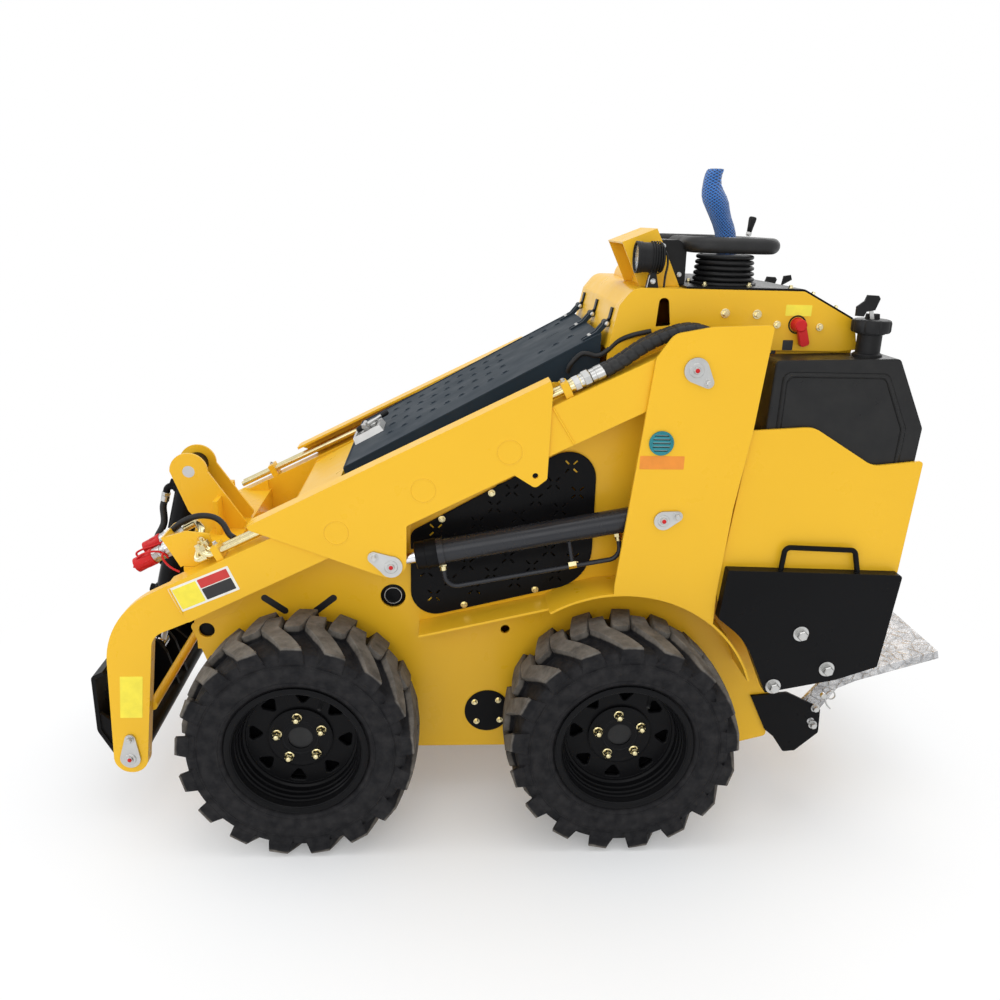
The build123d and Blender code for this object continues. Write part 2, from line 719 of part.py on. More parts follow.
# Rows: y, height along the flange, length of the coupling, length of its cap
coupling_rows = ((-297.0, 49.0, 56.0, 48.0), (-252.0, 66.0, 38.0, 44.0))


def quick_couplings():
    """Two couplings in front of the flange and their stubs behind it."""
    couplings = []
    for y, rise, length, cap in coupling_rows:
        front = coupling_point(rise, seat_gap)
        end = coupling_point(rise, length)
        collar = coupling_point(rise, 20)
        body = rod_between((front[0], y, front[1]), (end[0], y, end[1]), coupling_radius)
        body += rod_between((front[0], y, front[1]), (collar[0], y, collar[1]), coupling_radius + 4)
        rear = coupling_point(rise, -8 - seat_gap)
        stub = coupling_point(rise, -30)
        couplings += [body, rod_between((rear[0], y, rear[1]), (stub[0], y, stub[1]), hose_radius)]
    return couplings


def coupling_caps():
    """Red caps over the couplings' ends."""
    caps = []
    for y, rise, length, cap in coupling_rows:
        start = coupling_point(rise, length + seat_gap)
        end = coupling_point(rise, length + cap)
        caps.append(rod_between((start[0], y, start[1]), (end[0], y, end[1]), coupling_radius + 3))
    return caps


def coupling_hoses():
    """Short hoses from the left arm's tubes to the couplings."""
    hoses = []
    for (y, rise, length, cap), tube_y in zip(coupling_rows, line_y[::-1]):
        rear = coupling_point(rise, -30 - seat_gap)
        out = coupling_point(rise, -62)
        up_x, up_z = near_end
        points = [
            (up_x - 0.5 * seat_gap, -tube_y, up_z + 0.9 * seat_gap), (up_x - 14, -tube_y, up_z + 24),
            ((up_x + out[0]) / 2 - 4, (y - tube_y) / 2, 812), (out[0], y, out[1]), (rear[0], y, rear[1]),
        ]
        hoses.append(hose(points, 9))
    return hoses


def lift_line():
    """Unit vector along the lift cylinder and the distance between its pins."""
    run = Vector(lift_tip[0] - lift_base[0], 0, lift_tip[1] - lift_base[1])
    return run.normalized(), run.length


def lift_barrel():
    """Cylinder barrel with its base eye."""
    along, length = lift_line()
    base = Vector(lift_base[0], cylinder_y, lift_base[1])
    end = base + along * (length - lift_rod_show)
    body = rod_between(base + along * 26, end, barrel_radius)
    body += round_y(lift_base, lift_eye_radius, cylinder_y - 25, cylinder_y + 25)
    body += rod_between(end - along * 30, end, barrel_radius + 4)
    down = Vector(along.Z, 0, -along.X) * -line_drop
    front = base + along * (length - lift_rod_show - 20)
    rear = base + along * 105
    line = [front + down * 0.2, front + down, rear + down, rear + down * 0.2]
    body += tube([(point.X, point.Y, point.Z) for point in line], [30, 30], 6)
    strut = base + along * 226
    body += rod_between(strut + down * 0.2, strut + down, 5)
    body -= rod_between(base + along * bore_start, end + along, rod_radius + bore_clearance)
    body -= round_y(lift_base, lift_pin_radius + pin_clearance, cylinder_y - 60, cylinder_y + 60)
    return body


def lift_rod():
    """Polished rod with its eye at the arm."""
    along, length = lift_line()
    base = Vector(lift_base[0], cylinder_y, lift_base[1])
    tip = Vector(lift_tip[0], cylinder_y, lift_tip[1])
    rod = rod_between(base + along * (bore_start + 5), tip - along * 20, rod_radius)
    return rod + round_y(lift_tip, lift_eye_radius, cylinder_y - 17, cylinder_y + 17)


def tilt_line():
    """Unit vector along the tilt cylinder and the distance between its pins."""
    run = Vector(tilt_tip[0] - tilt_base[0], 0, tilt_tip[1] - tilt_base[1])
    return run.normalized(), run.length


def tilt_barrel():
    """Barrel of the cylinder that tilts the coupler, with its two hose ports."""
    along, length = tilt_line()
    base = Vector(tilt_base[0], 0, tilt_base[1])
    end = base + along * (length - tilt_rod_show)
    body = rod_between(base + along * 26, end, tilt_barrel_radius)
    body += rod_between(end - along * 34, end, tilt_barrel_radius + 4)
    body += round_y(tilt_base, tilt_eye_radius, -tilt_ear_y + 2, tilt_ear_y - 2)
    out = Vector(along.Z, 0, -along.X)
    for place in (along * 60, along * (length - tilt_rod_show - 20)):
        body += rod_between(base + place, base + place + out * (tilt_barrel_radius + 16), 11)
    body -= rod_between(base + along * bore_start, end + along, tilt_rod_radius + bore_clearance)
    body -= round_y(tilt_base, tilt_pin_radius + pin_clearance, -60, 60)
    return body


def tilt_rod():
    """Rod of the tilt cylinder with its eye at the coupler."""
    along, length = tilt_line()
    base = Vector(tilt_base[0], 0, tilt_base[1])
    tip = Vector(tilt_tip[0], 0, tilt_tip[1])
    rod = rod_between(base + along * rod_start, tip - along * 15, tilt_rod_radius)
    return rod + round_y(tilt_tip, 24, -22, 22)


def coupler_plate():
    """Attachment plate with its hinge tube and the lugs of the tilt cylinder."""
    px, pz = coupler_pivot
    half_width = neck_outer_y - neck_thickness - coupler_gap
    face_x = px - 91
    rows = [(face_x + 29, 413, 0), (face_x, 399, 12), (face_x, 246, 30), (face_x + 47, 156, 0)]
    body = folded(rows, 10, -half_width, half_width)
    body += round_y(coupler_pivot, tilt_pin_radius + 11, -half_width, half_width)
    gusset_rows = [
        (face_x + 5, 300, 0), (face_x + 11, 240, 0), (px - 46, pz - 26, 0), (px, pz - 26, 0),
        (px + 24, pz, 10),
    ]
    for y in (-200, 200, -half_width + 10, half_width - 10):
        body += plate(gusset_rows, y - 5, y + 5)
    tx, tz = tilt_tip
    lug_inner_y = 34
    lug_rows = [
        (face_x + 8, tz + 50, 0), (tx + 10, tz + 30, 25), (tx + 34, tz - 10, 25), (px + 26, pz + 4, 0),
        (px, pz - 20, 0), (px - 60, pz - 10, 0), (face_x + 9, 250, 0),
    ]
    lug = plate(lug_rows, lug_inner_y, lug_inner_y + 12)
    lug += round_y(tilt_tip, tilt_pin_radius, lug_inner_y - 8, lug_inner_y)
    body += lug
    body += mirror(lug, about=Plane.XZ)
    body -= block(face_x - 5, face_x + 40, -lug_inner_y, lug_inner_y, 300, 430)
    return body - round_y(coupler_pivot, tilt_pin_radius + pin_clearance, -tower_y, tower_y)


# Rows of the lugs: distance from the tyre's middle, turn of the lug's middle in degrees
outer_lug = ((tyre_width / 2, 0.0), (8.0, 12.8), (-56.0, 12.8))
inner_lug = ((10.0, 2.2), (-tyre_width / 2, -2.0))


def facet_stack(rows, sides, turn):
    """Body of flat-sided rings. Each row holds the distance from the tyre's middle and the corners' radius."""
    rings = []
    for across, radius in rows:
        plane = Plane(origin=(0, tyre_centre_y + across, 0), x_dir=(1, 0, 0), z_dir=(0, 1, 0))
        rings.append(plane * Rot(0, 0, turn) * RegularPolygon(radius, sides))
    return loft(rings, ruled=True)


def lug(rows, middle):
    """Bar on the tread that points along X, drawn on a flat sheet square to its middle."""
    left = [(across, tyre_radius * sin(radians(turn - middle - lug_half_angle))) for across, turn in rows]
    right = [(across, tyre_radius * sin(radians(turn - middle + lug_half_angle))) for across, turn in rows]
    sheet = Plane(origin=(lug_foot_radius, tyre_centre_y, 0), x_dir=(0, 1, 0), z_dir=(1, 0, 0))
    plan = make_face(Polyline(*left, *right[::-1], close=True))
    return extrude(sheet * plan, amount=tyre_radius)


def tyre():
    """Flat-sided tyre with its lugs, one of which ends at the top."""
    half = tyre_width / 2
    bead = rim_width / 2 - flange_width - seat_clearance
    reach = 1 / cos(radians(180 / lug_count))
    lip = (flange_radius + seat_clearance) * reach
    carcass = facet_stack(
        [(-bead, lip), (-half, lug_base_radius), (half, lug_base_radius), (bead, lip)], lug_count, 0)
    seat = (rim_radius + seat_clearance) * reach
    carcass -= facet_stack([(-half, seat), (half, seat)], lug_count, 0)
    bars = []
    for place in range(lug_count):
        for rows, middle in ((outer_lug, 7.0), (inner_lug, 0.0)):
            bars.append(Rot(0, -(90 + 360 / lug_count * place + middle), 0) * lug(rows, middle))
    sides = 2 * lug_count
    tread = facet_stack([(-half, tyre_radius), (half, tyre_radius)], sides, 180 / sides)
    return carcass + (tread & (Part() + bars))


def wheel_rim():
    """Rim with flanges and a disc set inboard."""
    inner_y = tyre_centre_y - rim_width / 2
    outer_y = inner_y + rim_width
    rim = round_y((0, 0), rim_radius, inner_y, outer_y)
    rim += round_y((0, 0), flange_radius, inner_y, inner_y + flange_width)
    rim += round_y((0, 0), flange_radius, outer_y - flange_width, outer_y)
    rim -= round_y((0, 0), rim_radius - rim_wall, inner_y - 1, outer_y + 1)
    disc_y = outer_y - disc_depth
    rim += round_y((0, 0), rim_radius - 2, disc_y - disc_thickness, disc_y)
    rim += round_y((0, 0), hub_radius, disc_y, disc_y + 8)
    rows = [(window_from, 0, 4), (window_to, -window_width / 2, 4), (window_to, window_width / 2, 4)]
    window = plate(rows, disc_y - 2 * disc_thickness, disc_y + disc_thickness)
    return rim - [Rot(0, -360 / window_count * place - 5, 0) * window for place in range(window_count)]


def wheel_motor():
    """Drive motor with the stub that carries the wheel."""
    disc_y = tyre_centre_y + rim_width / 2 - disc_depth - disc_thickness
    body = round_y((0, 0), motor_radius, side_y - 90, side_y + 20)
    return body + round_y((0, 0), stub_radius, side_y + 20, disc_y)


def nose_panel():
    """Sloping panel between the side plates under the hood's front."""
    rows = [
        (-760, deck_height + plate_thickness, 0), (-752, deck_height + plate_thickness, 0), (-618, 780, 0),
        (-500, 850, 0), (-505, 857, 0), (-626, 786, 0),
    ]
    inner = side_y - plate_thickness
    return plate(rows, -inner, inner)


# Rows: x, z and radius of the grille's corners
grille_rows = ((-314.0, 766.0, 25.0), (-314.0, 528.0, 62.0), (141.0, 637.0, 110.0), (140.0, 1023.0, 68.0))
cross_start = (-257.0, 594.0)
cross_step = (103.0, 19.0)
cross_rise = (42.0, 43.0)


def cross_slots():
    """Slots in fours that point at the middle of each cross, over the grille of one side."""
    room = offset(outline(grille_rows, side_y), amount=-24)
    slots = []
    for row in range(9):
        for step in range(-4, 5):
            x = cross_start[0] + cross_step[0] * step + cross_rise[0] * row
            z = cross_start[1] + cross_step[1] * step + cross_rise[1] * row
            if not room.is_inside(Vector(x, side_y, z)):
                continue
            for turn in (45, 135, 225, 315):
                slots.append(Pos(x, side_y, z) * Rot(0, turn, 0) * Pos(14.5, 0, 0) * Box(13.5, 20, 4.5))
    return slots


def side_covers():
    """Grille over the window in the side plate and the disc below it."""
    outside = side_y + seat_gap
    grille = plate(grille_rows, outside, outside + 4) - cross_slots()
    return both_sides(grille) + both_sides(round_y((-114, 259), 60, outside, outside + 3))


def vent_covers():
    """Round vents in the tower plates, with their slots."""
    outside = tower_y + plate_thickness + seat_gap
    vent = round_y(vent_centre, vent_radius, outside, outside + 4)
    for row in range(-2, 3):
        reach = 0.72 * (vent_radius ** 2 - (9 * row) ** 2) ** 0.5
        x, z = vent_centre
        vent -= block(x - reach, x + reach, outside - 5, outside + 9, z + 9 * row - 2, z + 9 * row + 2)
    return both_sides(vent)


def rear_wing():
    """Open-topped holder of the tank, with the body behind the counterweight."""
    sheet = plate_thickness
    outer_rows = [
        (486, 1057, 0), (633, 1067, 60), (789, 974, 60), (912, 988, 8), (895, 705, 0), (862, 465, 0),
        (765, 429, 10), (590, 395, 0), (525, 529, 200), (452, 597, 0), (440, 650, 0),
    ]
    inner_rows = [
        (rear_wall_x, 1050, 0), (912, 980, 8), (895, 705, 0), (862, 465, 0), (762, 437, 0),
        (rear_box_x + sheet, 420, 0), (rear_box_x + sheet, rear_box_top, 0), (rear_wall_x, rear_box_top, 0),
    ]
    rear_rows = [(911, 975, 0), (895, 705, 0), (862, 465, 0), (854, 466, 0), (887, 705, 0), (903, 976, 0)]
    wing = plate(outer_rows, wing_outer_y - sheet, wing_outer_y)
    wing += plate(inner_rows, wing_inner_y, wing_inner_y + sheet)
    wing += plate(rear_rows, wing_inner_y, wing_outer_y)
    wing += block(rear_wall_x, 890, wing_inner_y, wing_outer_y, tank_foot - sheet, tank_foot)
    return wing - arch_space(arch_sheet + 2, side_y - 60, tower_y + 40)


tank_foot = 730.0
tank_top = 1229.0
filler = (765.0, 330.0)


def tank():
    """Moulded tank that sits in the wing, with its filler neck and cap."""
    foot = tank_foot + seat_gap
    rows = [(510, foot, 0), (528, 1220, 10), (821, tank_top, 12), (900, 1066, 12), (880, foot, 0)]
    body = plate(rows, tank_inner_y, tank_outer_y)
    body += round_z(filler, 27, tank_top - 2, 1284)
    return body + round_z(filler, 42, 1283, 1312)


def counterweight():
    """Heavy slab bolted outside the wing, with its lifting handle."""
    rows = [
        (456, 717, 4), (893, 705, 8), (867, 455, 4), (765, 419, 6), (584, 383, 4), (519, 529, 200),
        (444, 589, 0),
    ]
    slab = plate(rows, wing_outer_y + seat_gap, wing_outer_y + weight_thickness)
    slab -= arch_space(arch_sheet + 2, tower_y - 40, tower_y + 40)
    middle = wing_outer_y + weight_thickness / 2
    handle = [(590, middle, 706), (595, middle, 772), (770, middle, 765), (786, middle, 700)]
    return slab + tube(handle, [14, 14], 6.5)


def rear_bracket():
    """Plate under the body's rear corner that carries the platform."""
    rows = [
        (600, 300, 0), (651, 196, 8), (676, 175, 10), (709, 127, 10), (742, 130, 8), (802, 186, 10),
        (798, 262, 14), (700, 310, 14),
    ]
    body = plate(rows, side_y, side_y + plate_thickness)
    return body - round_y(platform_pivot, 10 + pin_clearance, side_y - 10, side_y + 20)


def platform():
    """Step behind the machine, with a cheek and pin on each side."""
    px, pz = platform_pivot
    deck_rows = [(808, 311, 0), (1130, 409, 0), (1136, 387, 0), (815, 289, 0)]
    deck = plate(deck_rows, -platform_half_width, platform_half_width)
    cheek_rows = [
        (808, 311, 0), (900, 338, 0), (906, 316, 0), (860, 295, 20), (px + 24, pz - 20, 20),
        (px - 20, pz - 22, 18), (px - 22, pz + 20, 18),
    ]
    cheek = plate(cheek_rows, platform_half_width - 10, platform_half_width)
    side = cheek + round_y(platform_pivot, 10, platform_half_width - 5, side_y + plate_thickness)
    return deck + side + mirror(side, about=Plane.XZ)


def engine_block():
    """The engine as one mass."""
    foot = deck_height + plate_thickness
    return block(-300, 100, -180, 180, foot, foot + 327)


def save_body():
    """The chassis, its panels and its controls."""
    save("chassis_frame", chassis_frame())
    save_pair("tower", tower())
    save("tower_pins", *tower_pins())
    save("console_body", console_body())
    save("console_deck", console_deck())
    save("gauge_pod", gauge_pod())
    save("instrument_box", instrument_box())
    save("work_lamp", work_lamp())
    save("lamp_lens", lamp_lens())
    save("hand_bar", hand_bar())
    save("joystick_boot", joystick_boot())
    save("joystick_lever", joystick_lever())
    save("side_lever", side_lever())
    save("isolator_switch", isolator_switch())
    save("hood_hinges", *hood_hinges())
    save("engine_block", engine_block())
    save("nose_panel", nose_panel())
    save("side_covers", *side_covers())
    save("vent_covers", *vent_covers())
    save_pair("rear_wing", rear_wing())
    save("tanks", *both_sides(tank()))
    save("counterweights", *both_sides(counterweight()))
    save("rear_brackets", *both_sides(rear_bracket()))


def save_moving():
    """The hood, the arms with all that they carry, the cylinders and the platform."""
    save("hood", hood())
    save("hood_latch", hood_latch())
    save_pair("lift_arm", lift_arm())
    save("cross_members", *cross_members())
    save("arm_pins", *arm_pins())
    save("arm_tubes", *arm_tubes())
    save("tube_clamps", *tube_clamps())
    save("arm_hoses", *arm_hoses())
    save("coupling_bracket", coupling_bracket())
    save("quick_couplings", *quick_couplings())
    save("coupling_caps", *coupling_caps())
    save("coupling_hoses", *coupling_hoses())
    save_pair("lift_barrel", lift_barrel())
    save_pair("lift_rod", lift_rod())
    save("tilt_barrel", tilt_barrel())
    save("tilt_rod", tilt_rod())
    save("coupler_plate", coupler_plate())
    save("platform", platform())


def save_wheels():
    """Motors, rims and tyres."""
    motors = []
    for name, axle_x in (("front", front_axle_x), ("rear", rear_axle_x)):
        place = Pos(axle_x, 0, axle_height)
        motors += both_sides(place * wheel_motor())
        save_pair(f"tyre_{name}", place * tyre())
        save_pair(f"rim_{name}", place * wheel_rim())
    save("wheel_motors", *motors)


save_body()
save_moving()
save_wheels()
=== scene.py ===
"""Looks of the compact wheeled loader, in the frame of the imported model. Forms are written in millimetres."""
import json
from math import acos, atan2, cos, hypot, pi, radians, sin, tan

import bmesh
import bpy
from mathutils import Matrix, Vector


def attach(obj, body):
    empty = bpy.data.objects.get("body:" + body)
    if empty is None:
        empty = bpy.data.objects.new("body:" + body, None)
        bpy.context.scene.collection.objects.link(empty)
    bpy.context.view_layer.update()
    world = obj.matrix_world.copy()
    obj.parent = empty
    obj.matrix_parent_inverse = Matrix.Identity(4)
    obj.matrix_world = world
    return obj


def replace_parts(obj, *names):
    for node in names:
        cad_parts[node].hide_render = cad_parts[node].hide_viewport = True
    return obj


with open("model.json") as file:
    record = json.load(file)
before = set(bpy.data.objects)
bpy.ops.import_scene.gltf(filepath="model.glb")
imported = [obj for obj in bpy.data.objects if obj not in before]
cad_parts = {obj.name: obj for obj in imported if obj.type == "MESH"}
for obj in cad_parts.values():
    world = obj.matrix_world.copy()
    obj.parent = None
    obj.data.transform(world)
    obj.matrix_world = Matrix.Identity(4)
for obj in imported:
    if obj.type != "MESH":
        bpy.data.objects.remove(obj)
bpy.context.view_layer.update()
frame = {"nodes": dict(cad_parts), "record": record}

MM = 0.001
UP = (0, 0, 1)
WHITE = (1.0, 1.0, 1.0)
WORLD_LIGHT = 0.9  # Strength of the even light
GLOSS_LIGHT = 0.9  # Strength of what polished metal mirrors
FLOOR_EDGE = 14.0
FLOOR_WHITE = 0.2  # Share of pure white that the camera sees under the machine
FLOOR_FADE = (0.8, 2.0)  # Distances between which the floor turns all white
DUST = (0.3, 0.27, 0.22)


# Nodes

class Nodes:
    """Node tree to which nodes are added."""

    def __init__(self, tree):
        self.tree = tree

    def feed(self, socket, value):
        """Links a source to a socket, or writes a plain number or colour on it."""
        if isinstance(value, bpy.types.NodeSocket):
            self.tree.links.new(value, socket)
        else:
            socket.default_value = (*value, 1) if isinstance(value, tuple) else value

    def add(self, kind, inputs=None, **values):
        node = self.tree.nodes.new("ShaderNode" + kind)
        for key, value in values.items():
            setattr(node, key, value)
        for key, value in (inputs or {}).items():
            self.feed(node.inputs[key], value)
        return node

    def math(self, operation, first, second=0.0):
        return self.add("Math", {0: first, 1: second}, operation=operation).outputs[0]

    def rays(self, *names):
        """High for the kinds of rays that are named."""
        path = self.add("LightPath")
        source = path.outputs[names[0]]
        for name in names[1:]:
            source = self.math("MAXIMUM", source, path.outputs[name])
        return source

    def glow(self, kind, colour, strength=1.0):
        return self.add(kind, {"Color": colour, "Strength": strength}).outputs[0]

    def blend(self, factor, first, second):
        """Blends two shaders."""
        return self.add("MixShader", {0: factor, 1: first, 2: second}).outputs[0]


class Finish(Nodes):
    """Material with one shader, to which colour, roughness and bump are added."""

    def __init__(self, name):
        self.material = bpy.data.materials.new(name)
        self.material.use_nodes = True
        super().__init__(self.material.node_tree)
        self.shader = self.tree.nodes["Principled BSDF"]
        self.place = self.add("TexCoord").outputs["Object"]

    def set(self, **values):
        """Sources or plain values for the shader's sockets."""
        for key, value in values.items():
            self.feed(self.shader.inputs[key.replace("_", " ").title().replace("Ior", "IOR")], value)

    def axes(self):
        """The three parts of the place, in metres."""
        return self.add("SeparateXYZ", {0: self.place}).outputs

    def noise(self, scale, detail, roughness=0.55):
        inputs = {"Scale": scale, "Detail": detail, "Roughness": roughness, "Vector": self.place}
        return self.add("TexNoise", inputs).outputs["Fac"]

    def cells(self, scale, feature):
        return self.add("TexVoronoi", {"Scale": scale, "Vector": self.place}, feature=feature).outputs["Distance"]

    def ramp(self, source, low, high, start=0.3, end=0.7):
        """Colours or numbers from low to high where the source goes from start to end."""
        node = self.add("ValToRGB", {"Fac": source})
        for element, position, value in zip(node.color_ramp.elements, (start, end), (low, high)):
            element.position = position
            element.color = (*value, 1) if isinstance(value, tuple) else (value, value, value, 1)
        return node.outputs["Color"]

    def drift(self, scale, detail, low, high, start=0.3, end=0.7):
        """Colours or numbers that wander from low to high."""
        return self.ramp(self.noise(scale, detail), low, high, start, end)

    def mix(self, factor, first, second):
        """Blends two colour sources or plain colours."""
        return self.add("Mix", {"Factor": factor, "A": first, "B": second}, data_type="RGBA").outputs["Result"]

    def soft_edges(self, radius):
        """Normal that is rounded over sharp edges, and how far it leaves the true one."""
        soft = self.add("Bevel", {"Radius": radius}, samples=4).outputs["Normal"]
        true = self.add("NewGeometry").outputs["Normal"]
        same = self.add("VectorMath", {0: soft, 1: true}, operation="DOT_PRODUCT").outputs["Value"]
        return soft, self.math("SUBTRACT", 1.0, same)

    def bump(self, source, strength, distance, under=None):
        """Relief, over a normal that is already there if one is given."""
        node = self.add("Bump", {"Strength": strength, "Distance": distance, "Height": source})
        if under is not None:
            self.feed(node.inputs["Normal"], under)
        self.set(normal=node.outputs["Normal"])


# Camera and light

def add_camera():
    """The photograph's view, solved from the wheels."""
    yaw, pitch, roll = (radians(a) for a in (3.802, 17.497, 1.572))
    forward = Vector((sin(yaw) * cos(pitch), cos(yaw) * cos(pitch), -sin(pitch)))
    level = Vector((cos(yaw), -sin(yaw), 0))
    upright = level.cross(forward)
    right = level * cos(roll) + upright * sin(roll)
    up = upright * cos(roll) - level * sin(roll)
    data = bpy.data.cameras.new("camera")
    data.sensor_width = 36.0
    data.lens = 32.06
    camera = bpy.data.objects.new("camera", data)
    turn = Matrix((right, up, -forward)).transposed().to_4x4()
    camera.matrix_world = Matrix.Translation((-0.2344, -2.3933, 1.5139)) @ turn
    bpy.context.collection.objects.link(camera)
    bpy.context.scene.camera = camera


def add_lamp(name, place, target, size, power):
    """Soft box that looks at a point."""
    data = bpy.data.lights.new(name, "AREA")
    data.shape = "RECTANGLE"
    data.size, data.size_y = size
    data.energy = power
    lamp = bpy.data.objects.new(name, data)
    lamp.location = place
    lamp.rotation_euler = (Vector(target) - Vector(place)).to_track_quat("-Z", "Y").to_euler()
    bpy.context.collection.objects.link(lamp)


def add_world():
    """Even light, with a white backdrop for the camera, in glass and in polished metal."""
    world = bpy.data.worlds.new("studio")
    world.use_nodes = True
    nodes = Nodes(world.node_tree)
    nodes.tree.nodes.clear()
    light = nodes.glow("Background", (0.96, 0.98, 1.0), WORLD_LIGHT)
    seen = nodes.blend(nodes.rays("Is Camera Ray", "Is Transmission Ray"), light, nodes.glow("Background", WHITE))
    mirrored = nodes.glow("Background", WHITE, GLOSS_LIGHT)
    nodes.add("OutputWorld", {"Surface": nodes.blend(nodes.rays("Is Glossy Ray"), seen, mirrored)})
    bpy.context.scene.world = world


def add_floor():
    """Pale floor that keeps the shadow and fades into the white backdrop."""
    mesh = bpy.data.meshes.new("floor")
    corners = [(x * FLOOR_EDGE, y * FLOOR_EDGE, 0) for x, y in ((-1, -1), (1, -1), (1, 1), (-1, 1))]
    mesh.from_pydata(corners, [], [(0, 1, 2, 3)])
    floor = bpy.data.objects.new("floor", mesh)
    bpy.context.collection.objects.link(floor)
    finish = Finish("floor")
    finish.set(base_color=(0.92, 0.92, 0.92), roughness=0.9, specular_ior_level=0.1)
    length = finish.add("VectorMath", {0: finish.place}, operation="LENGTH").outputs["Value"]
    fade = finish.add("MapRange", {"From Min": FLOOR_FADE[0], "From Max": FLOOR_FADE[1], "To Min": FLOOR_WHITE,
                                   "Value": length}).outputs["Result"]
    factor = finish.math("MULTIPLY", finish.rays("Is Camera Ray"), fade)
    surface = finish.blend(factor, finish.shader.outputs[0], finish.glow("Emission", WHITE))
    finish.feed(finish.tree.nodes["Material Output"].inputs["Surface"], surface)
    floor.data.materials.append(finish.material)


def add_studio():
    """Camera, floor, world and four soft boxes."""
    bpy.context.scene.view_settings.view_transform = "Standard"
    add_camera()
    add_world()
    add_floor()
    target = (0, 0, 0.7)
    add_lamp("key_lamp", (-1.0, -4.2, 2.4), target, (3.6, 2.2), 36)
    add_lamp("front_lamp", (-4.4, -0.8, 2.2), target, (2.4, 2.0), 30)
    add_lamp("back_lamp", (2.6, 3.4, 3.4), target, (3.0, 2.0), 42)
    add_lamp("top_lamp", (0.2, -0.4, 4.6), target, (3.4, 2.6), 40)


# Materials

def paint(name, colour, dark, edge, roughness=0.3, coat=0.06, gloss=0.25, radius=0.0016, dust=0.0):
    """Sprayed enamel: orange peel, slow colour drift, a painted highlight on its rounded edges, and faint dust."""
    finish = Finish(name)
    base = finish.drift(2.2, 3, dark, colour)
    if dust:
        patches = finish.ramp(finish.noise(7.0, 7, 0.65), 0.0, dust, 0.5, 0.8)
        base = finish.mix(patches, base, DUST)
    soft, turned = finish.soft_edges(radius)
    # Painted highlight: the edge colour is mixed in where the rounded normal leaves the true one.
    painted_edge_highlight = finish.ramp(turned, 0.0, 0.55, 0.02, 0.22)
    finish.set(base_color=finish.mix(painted_edge_highlight, base, edge), coat_weight=coat, coat_roughness=0.1,
               roughness=finish.drift(14.0, 5, roughness - 0.05, roughness + 0.1), specular_ior_level=gloss)
    finish.bump(finish.noise(300.0, 2), 0.06, 0.0006, soft)
    return finish.material


def metal(name, colour, dark, roughness):
    """Plated or polished metal with fine marks."""
    finish = Finish(name)
    finish.set(base_color=finish.drift(20.0, 3, dark, colour), metallic=1.0,
               roughness=finish.drift(90.0, 4, roughness - 0.03, roughness + 0.06))
    finish.bump(finish.noise(260.0, 2), 0.015, 0.0003)
    return finish.material


def plastic(name, colour, light, roughness, gloss=0.18, grain=0.25, scale=900.0, radius=0.0012):
    """Moulded plastic or rubber with a fine grain."""
    finish = Finish(name)
    finish.set(base_color=finish.drift(18.0, 5, colour, light, 0.35, 0.75),
               roughness=finish.drift(30.0, 4, roughness - 0.06, roughness + 0.1), specular_ior_level=gloss)
    finish.bump(finish.noise(scale, 2), grain, 0.0005, finish.soft_edges(radius)[0])
    return finish.material


def rubber(name):
    """Black rubber, brown and worn where the lugs touch the ground. The object's middle is the wheel's."""
    finish = Finish(name)
    x, _, z = finish.axes()
    radius = finish.math("SQRT", finish.math("ADD", finish.math("MULTIPLY", x, x), finish.math("MULTIPLY", z, z)))
    patch = finish.noise(26.0, 6, 0.65)
    ragged = finish.math("ADD", radius, finish.math("MULTIPLY", patch, 0.006))
    worn = finish.math("MULTIPLY", finish.ramp(ragged, 0.0, 1.0, 0.2775, 0.2815), 0.85)
    base = finish.drift(40.0, 6, (0.009, 0.009, 0.0105), (0.023, 0.022, 0.023), 0.35)
    brown = finish.ramp(patch, (0.08, 0.071, 0.062), (0.21, 0.19, 0.165))
    finish.set(base_color=finish.mix(worn, base, brown), roughness=finish.drift(60.0, 4, 0.55, 0.78),
               specular_ior_level=0.12)
    rings = finish.math("MULTIPLY", finish.math("SINE", finish.math("MULTIPLY", radius, 2600.0)), 0.12)
    finish.bump(finish.math("ADD", finish.noise(420.0, 3), rings), 0.35, 0.0008, finish.soft_edges(0.0025)[0])
    return finish.material


def net(name):
    """Sleeve of a diamond net over a dark grip. The object's middle is the lever's axis."""
    finish = Finish(name)
    x, y, z = finish.axes()
    turn = finish.math("MULTIPLY", finish.math("ARCTAN2", y, x), 24.0)
    rise = finish.math("MULTIPLY", z, 900.0)
    strands = [finish.math("SINE", finish.math(way, turn, rise)) for way in ("ADD", "SUBTRACT")]
    height = finish.math("MAXIMUM", *strands)
    finish.set(base_color=finish.ramp(height, (0.005, 0.03, 0.12), (0.02, 0.17, 0.55), 0.2, 0.75),
               roughness=finish.noise(50.0, 3), sheen_weight=0.3)
    finish.bump(height, 0.9, 0.0016)
    return finish.material


def crinkled_film(name):
    """Silvery film wrinkled over steel, with painted shade in the hollows of its folds and painted highlights on their
    crests.
    """
    finish = Finish(name)
    folds = finish.noise(24.0, 7, 0.7)
    creases = finish.ramp(finish.cells(32.0, "DISTANCE_TO_EDGE"), 0.0, 1.0, 0.0, 0.12)
    # The film's colour follows the folds' height: painted shade in the hollows, painted highlight on the crests.
    finish.set(base_color=finish.ramp(folds, (0.3, 0.3, 0.31), (0.78, 0.78, 0.79), 0.3, 0.68), metallic=0.75,
               roughness=finish.drift(60.0, 4, 0.12, 0.42), coat_weight=0.7, coat_roughness=0.08)
    finish.bump(finish.math("ADD", folds, finish.math("MULTIPLY", creases, 0.35)), 1.0, 0.012)
    return finish.material


def fluted_glass(name):
    """Clear moulded glass with fine flutes."""
    finish = Finish(name)
    finish.set(base_color=(0.9, 0.93, 0.95), roughness=0.08, transmission_weight=0.85)
    finish.bump(finish.cells(160.0, "F1"), 0.5, 0.001)
    return finish.material


